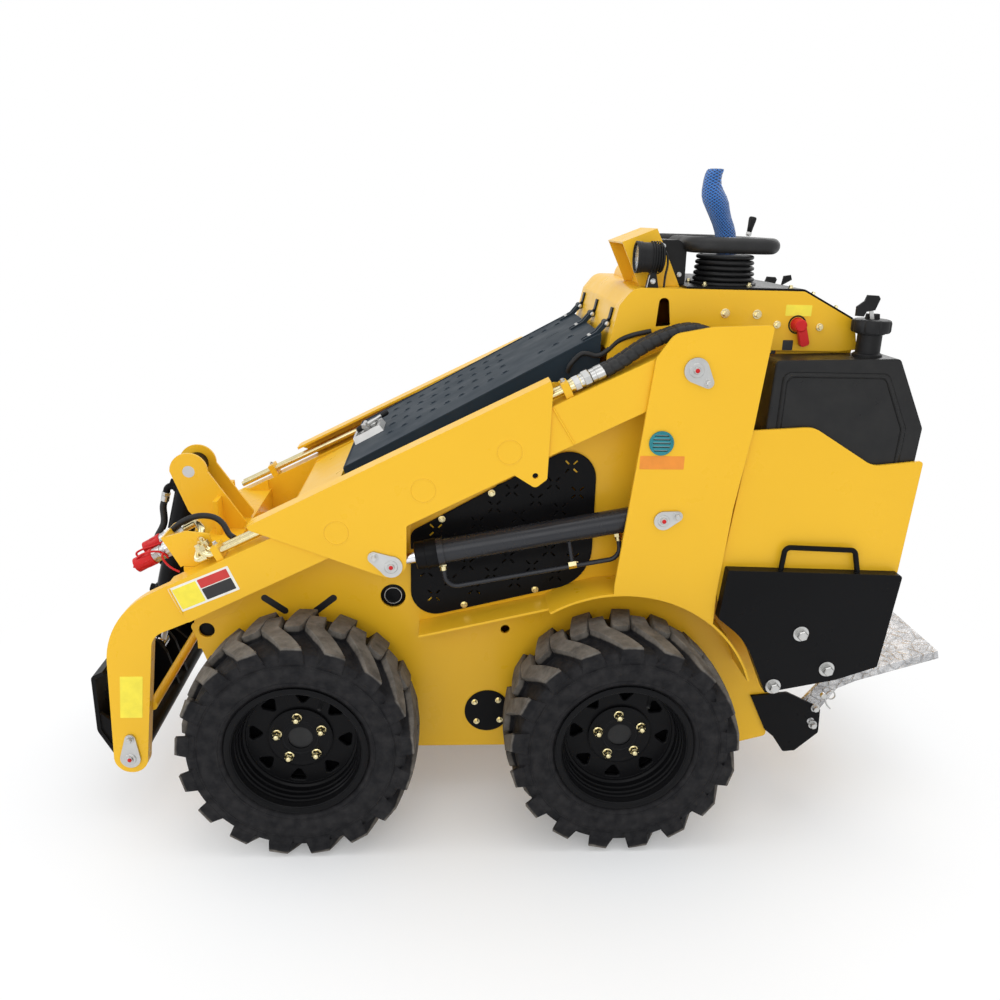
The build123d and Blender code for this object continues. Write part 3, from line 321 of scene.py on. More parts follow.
def printed(name, colour, roughness=0.45):
    """Printed film on a plate, a little uneven."""
    finish = Finish(name)
    dark = tuple(0.9 * part for part in colour)
    finish.set(base_color=finish.drift(35.0, 4, dark, colour, 0.35, 0.65),
               roughness=finish.drift(50.0, 3, roughness - 0.08, roughness + 0.08))
    finish.bump(finish.noise(500.0, 2), 0.05, 0.0003)
    return finish.material


# Finishes of the record's slots, of the lift barrels, whose black is lightened as a painted highlight, and of the blank
# plates.
# Columns: name, maker, what the maker takes after the name
FINISHES = (
    ("yellow_paint", paint, (0.85, 0.487, 0.021), (0.82, 0.465, 0.019), (0.95, 0.64, 0.09)),
    ("black_paint", paint, (0.007, 0.007, 0.0078), (0.005, 0.005, 0.0056), (0.04, 0.041, 0.044), 0.3, 0.0, 0.08),
    # The barrels' paint is a lighter copy of the black paint; the extra lightness is a painted highlight.
    ("barrel_paint", paint, (0.024, 0.025, 0.029), (0.02, 0.021, 0.025), (0.05, 0.051, 0.055), 0.24, 0.0, 0.3),
    ("hood_paint", paint, (0.024, 0.035, 0.047), (0.018, 0.028, 0.038), (0.1, 0.115, 0.125), 0.42, 0.0, 0.04, 0.002,
     0.03),
    ("tyre_rubber", rubber),
    ("black_plastic", plastic, (0.01, 0.01, 0.0105), (0.016, 0.016, 0.017), 0.42),
    ("tank_plastic", plastic, (0.009, 0.009, 0.0095), (0.015, 0.0147, 0.0145), 0.33, 0.3, 0.4, 420, 0.012),
    ("soft_rubber", plastic, (0.011, 0.011, 0.0115), (0.019, 0.019, 0.0195), 0.45, 0.3),
    ("zinc_steel", metal, (0.6, 0.6, 0.59), (0.52, 0.52, 0.51), 0.34),
    ("gold_steel", metal, (0.83, 0.74, 0.44), (0.7, 0.6, 0.34), 0.24),
    ("chromed_steel", metal, (0.86, 0.86, 0.87), (0.8, 0.8, 0.81), 0.14),
    ("cast_block", plastic, (0.05, 0.05, 0.05), (0.09, 0.09, 0.09), 0.7, 0.18, 0.6, 200),
    ("red_plastic", plastic, (0.5, 0.012, 0.014), (0.62, 0.022, 0.022), 0.35, 0.18, 0.1),
    ("blue_net", net),
    ("step_film", crinkled_film),
    ("teal_plastic", plastic, (0.025, 0.2, 0.24), (0.04, 0.27, 0.3), 0.4, 0.18, 0.1),
    ("lamp_glass", fluted_glass),
    ("plate_yellow", printed, (0.93, 0.78, 0.05)),
    ("plate_orange", printed, (0.83, 0.27, 0.02)),
    ("plate_black", printed, (0.014, 0.014, 0.016)),
    ("plate_red", printed, (0.6, 0.03, 0.025)),
    ("plate_white", printed, (0.86, 0.84, 0.76)),
)


def dress_frame():
    """Every CAD node takes the finish of its slot, and the lift barrels a glossier black that is lightened as a painted
    highlight.
    """
    for row in frame["record"]["subparts"]:
        node = frame["nodes"].get(row["node"])
        if node is not None:
            barrel = row["node"].startswith("lift_barrel")
            node.data.materials.clear()
            node.data.materials.append(finishes["barrel_paint" if barrel else row["material_slot"]])


# Forms

THINNEST = 0.05  # Least radius of a turned form, where it ends on its axis


def along_axis(axis):
    """An axis and two directions square to it, all of length one."""
    axis = Vector(axis).normalized()
    side = axis.cross(Vector((0, 0, 1))) if abs(axis.z) < 0.9 else axis.cross(Vector((1, 0, 0)))
    side.normalize()
    return axis, side, axis.cross(side)


def corner_arc(before, here, after, radius):
    """Arc in a corner: its middle, its start and end as seen from there, and its turn."""
    u, w = (before - here).normalized(), (after - here).normalized()
    half = acos(max(-1, min(1, u.dot(w)))) / 2
    centre = here + (u + w).normalized() * (radius / sin(half))
    reach = radius / tan(half)
    return centre, here + u * reach - centre, here + w * reach - centre, pi - 2 * half


def rounded(rows, steps=6):
    """Outline with its corners rounded. Rows hold two places and a radius."""
    points = []
    for i, (x, z, radius) in enumerate(rows):
        before, after = Vector(rows[i - 1][:2]), Vector(rows[(i + 1) % len(rows)][:2])
        centre, start, end, _ = corner_arc(before, Vector((x, z)), after, radius)
        first = atan2(start.y, start.x)
        turn = (atan2(end.y, end.x) - first + pi) % (2 * pi) - pi
        for step in range(steps + 1):
            angle = first + turn * step / steps
            points.append((centre.x + radius * cos(angle), centre.y + radius * sin(angle)))
    return points


def filleted(route, radii, step):
    """Points along a route whose corners turn on arcs of the given radii."""
    route = [Vector(p) for p in route]
    points = [route[0]]
    for before, here, after, radius in zip(route, route[1:], route[2:], radii):
        centre, start, end, turn = corner_arc(before, here, after, radius)
        normal = start.cross(end).normalized()
        count = max(2, int(radius * turn / step))
        points += [centre + Matrix.Rotation(turn * i / count, 3, normal) @ start for i in range(count + 1)]
    return points + [route[-1]]


def curved(route, steps=8):
    """Points of a smooth line through the route's points."""
    route = [Vector(p) for p in route]
    ends = [route[0] * 2 - route[1], *route, route[-1] * 2 - route[-2]]
    points = []
    for a, b, c, d in zip(ends, ends[1:], ends[2:], ends[3:]):
        for t in (i / steps for i in range(steps)):
            points.append(0.5 * ((2 * b) + (c - a) * t + (2 * a - 5 * b + 4 * c - d) * t * t
                                 + (3 * b - a - 3 * c + d) * t * t * t))
    return points + [route[-1]]


def arc(centre, radius, degrees):
    """Points round a centre at the given angles."""
    return [(centre[0] + radius * cos(radians(d)), centre[1] + radius * sin(radians(d))) for d in degrees]


class Form:
    """Mesh of one finish that rides on one body, built in millimetres."""

    def __init__(self, name, body, finish, origin=(0, 0, 0), sharp=35):
        self.name, self.body, self.finish, self.sharp = name, body, finish, sharp
        self.origin = Vector(origin)
        self.mesh = bmesh.new()

    def skin(self, rings, closed=False):
        """Skin over rings of points, each with as many points. It gets caps where it isn't closed."""
        made = [[self.mesh.verts.new((Vector(p) - self.origin) * MM) for p in ring] for ring in rings]
        for a, b in zip(made, made[1:] + made[:1] if closed else made[1:]):
            for i in range(len(a)):
                j = (i + 1) % len(a)
                self.mesh.faces.new((a[i], a[j], b[j], b[i]))
        if not closed:
            self.mesh.faces.new(made[0][::-1])
            self.mesh.faces.new(made[-1])
        return self

    def lathe(self, place, axis, rows, segments, closed=False, turn=0.0):
        """Turned form. Rows hold the distance along the axis and the radius."""
        axis, side, up = along_axis(axis)
        rim = [side * cos(a) + up * sin(a) for a in (2 * pi * i / segments + turn for i in range(segments))]
        rings = []
        for along, radius in rows:
            centre = Vector(place) + axis * along
            rings.append([centre + spoke * max(radius, THINNEST) for spoke in rim])
        return self.skin(rings, closed)

    def slab(self, points, shift):
        """Flat outline pushed along a shift."""
        return self.skin([points, [Vector(p) + Vector(shift) for p in points]])

    def slabs(self, points, shift):
        """Slab on both sides of the machine, given for positive Y."""
        for side in (-1, 1):
            mirror = Vector((1, side, 1))
            self.slab([Vector(p) * mirror for p in points], Vector(shift) * mirror)
        return self

    def plate(self, rows, low, high):
        """Outline over X and Z between two places on Y."""
        return self.slab([(x, low, z) for x, z in rounded(rows)], (0, high - low, 0))

    def plates(self, rows, low, high):
        """Plate on both sides, given for positive Y."""
        return self.slabs([(x, low, z) for x, z in rounded(rows)], (0, high - low, 0))

    def pipe(self, points, radius, segments, wrap=0.0, pitch=1.0):
        """Round section along points. A wrap adds a spiral that stands out by its height."""
        points = [Vector(p) for p in points]
        rings, along = [], 0.0
        direction, side, up = along_axis(points[1] - points[0])
        for i, point in enumerate(points):
            ahead = (points[min(i + 1, len(points) - 1)] - points[max(i - 1, 0)]).normalized()
            turn = direction.rotation_difference(ahead)
            side.rotate(turn)
            up.rotate(turn)
            direction = ahead
            if i:
                along += (point - points[i - 1]).length
            ring = []
            for k in range(segments):
                angle, size = 2 * pi * k / segments, radius
                if wrap:
                    phase = (along / pitch - k / segments) % 1
                    size += wrap * min(1.0, 9 * phase, 9 * (1 - phase)) * (0.75 + 0.25 * phase)
                ring.append(point + (side * cos(angle) + up * sin(angle)) * size)
            rings.append(ring)
        return self.skin(rings)

    def pipes(self, points, *details, **options):
        """Pipe on both sides, given for positive Y."""
        for side in (-1, 1):
            self.pipe([(x, side * y, z) for x, y, z in points], *details, **options)
        return self

    def bolt(self, place, axis, size, washer=0.0, domed=False, turn=0.3):
        """Hexagon head or nut on its washer. The size is measured over the flats."""
        start = 0.0
        if washer:
            edge = min(0.5, 0.1 * washer)
            self.lathe(place, axis, [(-0.5, washer), (2.0 - edge, washer), (2.0, washer - edge), (2.0, 0)], 28)
            start = 1.9
        tip, high = size / 3 ** 0.5, 0.62 * size
        top = start + high
        rows = [(start - 0.5, tip), (start + 0.84 * high, tip), (top, 0.86 * tip)]
        self.lathe(place, axis, rows, 6, turn=turn)
        core = 0.36 * size
        if domed:
            wide = 1.25 * core
            rows = [(top - 0.3, wide)]
            rows += [(top + 1.1 * core * sin(radians(a)), wide * cos(radians(a))) for a in range(0, 91, 15)]
        else:
            rows = [(top - 0.3, core), (top + 0.5, core), (top + 0.5, 0)]
        return self.lathe(place, axis, rows, 16)

    def outward(self, make, place, *details, **options):
        """A lathe or bolt on both sides, facing outward, given for positive Y."""
        x, y, z = place
        for side in (-1, 1):
            make(self, (x, side * y, z), (0, side, 0), *details, **options)
        return self

    def place(self):
        """Puts the mesh in the scene on its body."""
        bmesh.ops.recalc_face_normals(self.mesh, faces=self.mesh.faces)
        data = bpy.data.meshes.new(self.name)
        self.mesh.to_mesh(data)
        self.mesh.free()
        data.shade_smooth()
        data.set_sharp_from_angle(angle=radians(self.sharp))
        data.materials.append(finishes[self.finish])
        piece = bpy.data.objects.new(self.name, data)
        piece.location = self.origin * MM
        bpy.context.collection.objects.link(piece)
        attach(piece, self.body)
        return piece


# Places taken from the model, in millimetres

AXLES = (("front", -580), ("rear", 210))
SIDES = (("left", -1), ("right", 1))
AXLE_Z = 290
DECK_Z = 1376.2
TYRE_Y = 432
RIM_FACE = 530
NUT_CIRCLE = 57.15
VALVE_TURN = 62
ARM_SLOPE = radians(26.3)
ARM_PIVOT = (336, 1199)
ARM_TUBES = (222, 1222)  # Along the arm, the rear and front ends of its tubes
TUBE_RISE = 81
LIFT_BASE = (289, 839)
LIFT_TIP = (-358, 718)
LIFT_Y = 362
TILT_BASE = Vector((-917, 0, 847))
TILT_TIP = Vector((-1055, 0, 316))
HOOD_FRONT = (-482, 919)
HOOD_SLOPE = atan2(1263 - 919, 146 + 482)
VENT = (269, 1028)
LAMP = (-268, 1438)
BEAM_Y = (349, 377)
# Columns: Y, rise on the flange, length of the coupling, length of its cap
COUPLING_ROWS = ((-297, 49, 56, 48), (-252, 66, 38, 44))


def on_arm(along, above):
    """Place by the arm, from its pivot, as (x, z)."""
    return (ARM_PIVOT[0] - cos(ARM_SLOPE) * along - sin(ARM_SLOPE) * above,
            ARM_PIVOT[1] - sin(ARM_SLOPE) * along + cos(ARM_SLOPE) * above)


def on_hood(along, y, above):
    """Point over the hood's top, from its front edge."""
    return Vector((HOOD_FRONT[0] + cos(HOOD_SLOPE) * along - sin(HOOD_SLOPE) * above, y,
                   HOOD_FRONT[1] + sin(HOOD_SLOPE) * along + cos(HOOD_SLOPE) * above))


def by_flange(rise, out):
    """Place by the coupling flange, as (x, z)."""
    return -873 - 0.485 * rise - 0.874 * out, 684 + 0.874 * rise - 0.485 * out


def round_wheel(radius, degrees, across):
    """Point round a wheel's middle."""
    return Vector((radius * cos(radians(degrees)), across, radius * sin(radians(degrees))))


# Wheels

# Columns: distance from the tyre's middle, radius
TYRE_ROWS = (
    (89, 172), (93, 174), (97, 177), (99.5, 181), (100.5, 183.5), (102.8, 184.5), (102.8, 187), (101.4, 188.2),
    (103.4, 195), (104.6, 204), (105.2, 212), (105.3, 220), (105, 227), (104.6, 231), (106.4, 232.2), (106.4, 234),
    (104.2, 235.2), (103.4, 241), (102, 247), (99.8, 253), (95.6, 259), (86, 263), (60, 265.5), (30, 266.5), (0, 267),
)
LUG_COUNT = 17
# Columns: distance from the tyre's middle, turn in degrees, half width in degrees
OUTER_LUG = ((107.6, -0.3, 4.9), (92, 1.4, 4.9), (76, 3.4, 4.8), (60, 5.5, 4.7), (44, 7.7, 4.6), (28, 9.9, 4.5),
             (12, 12.1, 4.4), (4, 12.9, 4.4), (-10, 13.0, 4.3), (-26, 13.0, 4.2), (-42, 12.8, 4.1), (-56, 12.6, 3.8))
INNER_LUG = ((12, 2.0, 2.6), (2, 2.0, 4.3), (-14, 1.6, 4.5), (-32, 1.0, 4.6), (-52, 0.2, 4.7), (-72, -0.6, 4.8),
             (-90, -1.3, 4.9), (-107.6, -2.0, 4.9))
# Columns: radius, distance from the tyre's middle, half width in degrees
SHOULDER_BLOCK = ((281, 107.4, 4.5), (264, 107.9, 5.2), (250, 107.2, 6.2), (238, 104.4, 7.4))
SHOULDER_FOOT = 96
# Turned parts of the rim. Columns: segments, then rows of the distance from its outer edge and the radius
RIM_PARTS = (
    (96, ((0, 170), (-8, 170), (-8.6, 158.5), (-24, 158), (-40, 150), (-100, 142), (-150, 146), (-182, 158),
          (-188, 158.5), (-188.6, 170), (-196, 170), (-196, 160), (-190, 153), (-150, 140), (-100, 137), (-60, 139),
          (-20, 152), (-3, 154))),
    (64, ((-64, 30), (-64, 72), (-66, 74.5), (-73, 76), (-81, 76), (-81, 30))),
    (64, ((-112, 139), (-110, 60), (-114, 60), (-116, 139))),
    (96, ((0.4, 169.5), (1.6, 166), (1.6, 160), (0.2, 156.5), (-3, 154.5), (-10, 153.2), (-14, 150.8), (-21, 150.2),
          (-24, 147.6), (-32, 147), (-35, 144.2), (-46, 143.6), (-49, 140.6), (-62, 139.8), (-66, 134), (-71.8, 132),
          (-71.8, 153), (-20, 154), (-4, 158), (-2, 169.5))),
    (64, ((-64.5, 79), (-63.2, 76), (-63.2, 70), (-64.8, 67.5), (-70, 67.5), (-70, 79))),
    (56, ((-64.4, 47), (-62.6, 45), (-62.6, 42.5), (-66, 41), (-78, 40.5), (-78, 47))),
)
WINDOW_COUNT = 8
WINDOW_POINTS = 60
DISC_RADII = (70.0, 140.0)
PARALLEL = 1e-9  # Below this two directions count as parallel
SLACK = 1e-6


def lug_rings(rows, middle, side):
    """Sections of a tread bar, wider at its foot, with its top edges broken."""
    rings = []
    for across, turn, half in rows:
        crown = 290 - 9 * (abs(across) / 108) ** 2.2
        foot = 250 if abs(across) > 100 else 258
        flank = [(foot, 1.32), (crown - 8, 1.06), (crown - 1.2, 0.98), (crown, 0.9)]
        section = [(radius, -share) for radius, share in flank] + flank[::-1]
        rings.append([round_wheel(radius, middle + turn + half * share, side * across) for radius, share in section])
    return rings


def add_tyre(wheel, x, side):
    """Tyre with ribs on its sidewalls, two rows of bars and blocks on its shoulders."""
    form = Form(f"tyre_{wheel}_tread", f"wheel_{wheel}", "tyre_rubber", (x, side * TYRE_Y, AXLE_Z), 28)
    rows = [*TYRE_ROWS, *((-across, radius) for across, radius in TYRE_ROWS[-2::-1]), (-89, 168), (89, 168)]
    form.lathe(form.origin, (0, 1, 0), rows, 136, closed=True)
    for number in range(LUG_COUNT):
        middle = 90 + 360 / LUG_COUNT * number
        skins = [lug_rings(lug, middle, side) for lug in (OUTER_LUG, INNER_LUG)]
        for reach, turn in ((1, 0), (-1, -2)):
            skins.append([[round_wheel(radius, middle + turn + half * share, side * reach * at)
                           for at, share in ((across, -1), (across, 1), (SHOULDER_FOOT, 1), (SHOULDER_FOOT, -1))]
                          for radius, across, half in SHOULDER_BLOCK])
        for rings in skins:
            form.skin([[form.origin + p for p in ring] for ring in rings])
    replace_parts(form.place(), f"tyre_{wheel}")


def pierced_disc(form, x, side):
    """Disc of the wheel with eight rounded three-cornered windows."""
    near, far, fold = side * 458, side * 449, pi / WINDOW_COUNT
    middle = Vector((111, 0))
    window = [Vector(p) - middle for p in rounded([(88, 0, 7), (124, -25, 7), (124, 25, 7)], 7)]

    def to_border(ray):
        """Point of the sector's border in a direction from the window's middle."""
        half, found = middle.dot(ray), []
        for radius in DISC_RADII:
            root = half * half - middle.length_squared + radius * radius
            if root > 0:
                found += [-half - root ** 0.5, -half + root ** 0.5]
        for turn in (fold, -fold):
            line = Vector((-sin(turn), cos(turn)))
            if abs(line.dot(ray)) > PARALLEL:
                found.append(-middle.dot(line) / line.dot(ray))
        return middle + ray * min(t for t in found if t > 0.01)

    def to_window(ray):
        """Point of the window's outline in a direction from its middle."""
        best = 0
        for a, b in zip(window, window[1:] + window[:1]):
            across = ray.cross(b - a)
            if abs(across) > PARALLEL:
                t, share = a.cross(b - a) / across, a.cross(ray) / across
                if t > 0 and -SLACK <= share <= 1 + SLACK:
                    best = max(best, t)
        return middle + ray * best

    rays = [Vector((cos(a), sin(a))) for a in (2 * pi * k / WINDOW_POINTS for k in range(WINDOW_POINTS))]
    outer, inner = [to_border(ray) for ray in rays], [to_window(ray) for ray in rays]
    brim = [p + ray * 2.5 for p, ray in zip(inner, rays)]
    for number in range(WINDOW_COUNT):
        spin = Matrix.Rotation(radians(85) + 2 * pi / WINDOW_COUNT * number, 2)
        rings = []
        for points, y in ((outer, near), (brim, near), (inner, near - side * 2.2), (inner, far), (outer, far)):
            rings.append([(x + p.x, y, AXLE_Z + p.y) for p in (spin @ point for point in points)])
        form.skin(rings, closed=True)


def add_rim(wheel, x, side):
    """Steps inside the rim, the pierced disc, the hub's raised ring, five nuts and the valve."""
    body, outward = f"wheel_{wheel}", (0, side, 0)
    axle, edge = Vector((x, 0, AXLE_Z)), (x, side * RIM_FACE, AXLE_Z)
    steps = Form(f"rim_steps_{wheel}", body, "black_paint")
    for segments, rows in RIM_PARTS:
        steps.lathe(edge, outward, rows, segments, closed=True)
    pierced_disc(steps, x, side)
    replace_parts(steps.place(), f"rim_{wheel}")
    nuts = Form(f"wheel_nuts_{wheel}", body, "gold_steel")
    for number in range(5):
        spot = axle + round_wheel(NUT_CIRCLE, 96 + 72 * number, side * 466)
        nuts.lathe(spot, outward, [(-0.5, 12.6), (2.2, 12.2), (3.4, 10.5), (3.4, 0)], 28)
        nuts.bolt(spot + Vector(outward) * 3, outward, 19, domed=True, turn=0.4 * number)
    nuts.place()
    rows = [(-71, 41), (-69.5, 40), (-69, 30), (-70.5, 22), (-70.5, 0)]
    Form(f"hub_cap_{wheel}", body, "soft_rubber").lathe(edge, outward, rows, 48).place()
    foot, inward = axle + round_wheel(139, VALVE_TURN, side * 484), round_wheel(-1, VALVE_TURN, side * 1.1)
    rows = [(-4, 8), (3, 7), (8, 4.8), (24, 4.2), (25, 4.8), (34, 4.8), (35, 3.8), (35, 0)]
    Form(f"valve_{wheel}", body, "soft_rubber").lathe(foot, inward, rows, 20).place()


def add_wheels():
    """The four tyres and rims."""
    for end, x in AXLES:
        for side_name, side in SIDES:
            add_tyre(f"{end}_{side_name}", x, side)
            add_rim(f"{end}_{side_name}", x, side)


# Fasteners

# Bolts on both sides. Columns: x, z, distance of the face from the middle, size over the flats, washer radius
SIDE_BOLTS = (
    (-116, 869, 294.3, 11, 9), (-238, 800, 294.3, 11, 9), (1, 611, 294.3, 11, 9), (-180, 569, 294.3, 11, 9),
    (104, 683, 294.3, 8, 7), (426, 1316, 290, 13, 11), (503, 1315, 290, 13, 11), (554, 1292, 290, 11, 9),
    (658, 1288, 290, 11, 9), (-148, 286, 293.3, 10, 8.5), (-80, 232, 293.3, 10, 8.5), (-142, 228, 293.3, 10, 8.5),
    (-85, 291, 293.3, 10, 8.5),
)
REAR_BOLTS = ((657, 548, 425, 24, 20), (736, 450, 425, 24, 20), (603, 402, 425, 24, 20), (783, 263, 298, 16, 12),
              (783, 211, 298, 16, 12))
DECK_BEND = 612  # Behind this the console's deck slopes
# Columns: pin, bolt of its plate, pin's radius, distance of the plate from the middle
TOWER_PINS = ((ARM_PIVOT, (365, 1171), 17, 414), (LIFT_BASE, (321, 850), 14, 414))
ARM_PINS = (((-1018, 191), (-1014, 247), 15, 399), (LIFT_TIP, (-398, 741), 16, 410.8))


def add_fasteners():
    """Bolts of the side plates, deck, weights, brackets and lamp."""
    gold = Form("side_bolts", "chassis", "gold_steel")
    for x, z, y, size, washer in SIDE_BOLTS:
        gold.outward(Form.bolt, (x, y, z), size, washer)
    for x, y in ((385, -238), (493, -238), (379, -110), (525, -110)):
        gold.bolt((x, y, DECK_Z), UP, 9, 7)
    for x in (585, 640, 700):
        past = max(0, x - DECK_BEND)
        for y in (-268, 268):
            gold.bolt((x, y, 1375.5 - 0.508 * past), (0.45 if past else 0, 0, 1), 8, 6.5)
    gold.place()
    zinc = Form("weight_bolts", "chassis", "zinc_steel")
    for x, z, y, size, washer in REAR_BOLTS:
        zinc.outward(Form.bolt, (x, y, z), size, washer)
    for x, z in ((284, 1463), (327, 1398)):
        zinc.bolt((x, -215, z), (0, -1, 0), 8, 6)
    zinc.place()


def add_pin_ends():
    """Ends of the pins in the towers, the arm's tips and the lift cylinders, with grease nipples and bolts."""
    for group, body, pins in (("tower", "chassis", TOWER_PINS), ("arm", "lift_arm", ARM_PINS)):
        ends = Form(f"{group}_pin_ends", body, "zinc_steel")
        dots = Form(f"{group}_grease_dots", body, "red_plastic")
        for (x, z), (bolt_x, bolt_z), radius, y in pins:
            ends.outward(Form.lathe, (x, y, z), [(-1, radius), (1.2, radius), (2.2, radius - 1.2), (2.2, 0)], 40)
            ends.outward(Form.lathe, (x, y + 2, z), [(-0.5, 9), (2, 8.4), (3.4, 7.4), (3.4, 0)], 28)
            ends.outward(Form.bolt, (bolt_x, y, bolt_z), 12, 10.5)
            dots.outward(Form.lathe, (x, y + 5, z), [(-0.5, 5.4), (1.4, 5.2), (3, 4), (3.6, 2.2), (3.6, 0)], 24)
        if group == "arm":
            outline = arc(LIFT_TIP, 27, range(-150, 91, 12)) + arc((-398, 741), 15, range(90, 241, 15))
            ends.slabs([(x, 405.3, z) for x, z in outline], (0, 5.5, 0))
        ends.place()
        dots.place()


# Body trim

# Blank plates where the machine has printed ones. Columns: name, body, finish, distance from the middle, outline
BLANK_PLATES = (
    ("arm_plate_back", "lift_arm", "plate_white", 397.1, ((-862, 594), (-888, 654), (-744, 715), (-718, 655))),
    ("arm_plate_yellow", "lift_arm", "plate_yellow", 397.5, ((-856, 602), (-878, 652), (-822, 676), (-800, 626))),
    ("arm_plate_red", "lift_arm", "plate_red", 397.5, ((-809, 657), (-818, 678), (-748, 708), (-739, 687))),
    ("arm_plate_black", "lift_arm", "plate_black", 397.5, ((-796, 628), (-808, 655), (-738, 685), (-726, 658))),
    ("neck_plate", "lift_arm", "plate_yellow", 393.1, ((-1033, 306), (-1023, 421), (-968, 421), (-979, 306))),
    ("vent_plate", "chassis", "plate_orange", 408.1, ((222, 965), (222, 997), (327, 997), (327, 965))),
    ("switch_plate", "chassis", "plate_yellow", 290.1, ((571, 1313), (571, 1339), (634, 1339), (634, 1313))),
    ("switch_name_plate", "chassis", "plate_black", 290.1, ((573, 1232), (573, 1256), (598, 1256), (598, 1232))),
)


def add_blank_plates():
    """Blank plates on both sides, and those by the switch on the left alone."""
    for name, body, finish, face, outline in BLANK_PLATES:
        for side_name, side in SIDES:
            if name.startswith("switch") and side > 0:
                continue
            form = Form(f"{name}_{side_name}", body, finish)
            form.plate([(x, z, 2) for x, z in outline], side * face, side * (face + 0.5)).place()


def add_vents():
    """Slats and rims of the round vents in the towers."""
    x, middle = VENT
    slats = Form("vent_slats", "chassis", "zinc_steel")
    for row in range(-2, 3):
        reach = 0.68 * (29 ** 2 - (9 * row) ** 2) ** 0.5
        z = middle + 9 * row
        slats.slabs([(x - reach, 408.4, z - 1.8), (x + reach, 408.4, z - 1.8), (x + reach, 411.2, z + 1.2),
                     (x - reach, 411.2, z + 1.2)], (0, 0, 0.7))
    slats.place()
    rows = [(-2, 28.6), (0.8, 28), (1.6, 26.5), (0.9, 24.6), (-2, 24)]
    rims = Form("vent_rims", "chassis", "teal_plastic")
    rims.outward(Form.lathe, (x, 412.3, middle), rows, 48, closed=True).place()


def add_side_details():
    """Painted shade as dark plates in the side slots and dark discs in the side holes, gussets, holes' rings and marks
    of the sides, the strips under the console and the arm's weld beads.
    """
    # Dark plates painted as the shade inside the two slots.
    slots = Form("side_slot_painted_shades", "chassis", "plate_black")
    for start, end in (((-684, 585), (-635, 550)), ((-512, 585), (-556, 550))):
        start, end = Vector(start), Vector(end)
        line = (end - start).normalized() * 9
        across = Vector((-line.y, line.x))
        corners = (start - line + across, start - line - across, end + line - across, end + line + across)
        slots.plates([(*corner, 8.9) for corner in corners], 289.6, 290.4)
    slots.place()
    rows = [(-866, 512, 4), (-842, 596, 4), (-780, 622, 4), (-690, 622, 4), (-690, 556, 4), (-745, 545, 4)]
    Form("side_gussets", "chassis", "yellow_paint").plates(rows, 285, 289.8).place()
    marks = Form("shroud_marks", "lift_arm", "yellow_paint")
    for x, z in ((-83, 1001), (-282, 907), (-486, 801)):
        rows = [(-0.5, 30.2), (0.7, 29.6), (1.0, 28.8), (0.7, 28), (-0.5, 27.4)]
        marks.outward(Form.lathe, (x, 405, z), rows, 56, closed=True)
    marks.place()
    rows = [(-4, 22.5), (4.4, 22.5), (5, 22), (5, 20.8), (-4, 20.8)]
    rings = Form("side_hole_rings", "chassis", "zinc_steel")
    rings.outward(Form.lathe, (-361, 283, 591), rows, 40, closed=True).place()
    # Dark discs at the backs of the holes, painted as the shade inside them.
    wells = Form("side_hole_painted_shades", "chassis", "black_paint")
    wells.outward(Form.lathe, (-361, 281, 591), [(-4, 33), (-0.6, 33), (0, 32), (0, 0)], 40)
    wells.outward(Form.lathe, (-834, 283, 496), [(-3, 23), (-0.6, 23), (0, 22), (0, 0)], 36).place()
    rows = [(566, 1190, 3), (566, 1236, 3), (752, 1236, 3), (752, 1190, 3)]
    Form("console_skirts", "chassis", "yellow_paint").plates(rows, 268, 272).place()
    beads = Form("arm_weld_beads", "lift_arm", "yellow_paint", sharp=60)
    for (x0, z0), (x1, z1) in (((-884, 655), (-858, 592)), (on_arm(320, -40), on_arm(330, 58))):
        count = int(hypot(x1 - x0, z1 - z0) / 1.5)
        line = [(x0 + (x1 - x0) * i / count, 397.6, z0 + (z1 - z0) * i / count) for i in range(count + 1)]
        beads.pipes(line, 2.2, 10, wrap=0.5, pitch=4.5)
    beads.place()


# Hood

# Dimple round a hole of the hood. Columns: reach from the hole's middle, height over the sheet
DIMPLE = ((12.5, -0.4), (11, 0.5), (8.6, 1.0), (7.2, 0.9), (6.2, -0.5))
DIMPLE_POINTS = 20
HANDLE_RISE = 20
HANDLE_BAR = ((-34, -14), (-12, -3), (10, 6), (40, 24))
KEY_BLADE = ((0, -4), (16, -4), (20, -9), (32, -9), (36, 0), (32, 9), (20, 9), (16, 4), (0, 4))


def add_hood_holes():
    """Dimples round the holes, which have rounded square rims."""
    square = []
    for angle in (2 * pi * k / DIMPLE_POINTS for k in range(DIMPLE_POINTS)):
        out = 1 / max(abs(cos(angle)), abs(sin(angle))) ** 0.55
        square.append((out * cos(angle), out * sin(angle)))
    holes = [(123 + 42 * step, -118 + 98 * row) for step in range(9) for row in range(4)]
    holes += [(565 + 42 * step, y) for step in range(3) for y in (-98, 184)]
    rims = Form("hood_hole_rims", "hood", "hood_paint", sharp=50)
    for along, y in holes:
        rims.skin([[on_hood(along + reach * a, y + reach * b, above) for a, b in square] for reach, above in DIMPLE],
                  closed=True)
    rims.place()


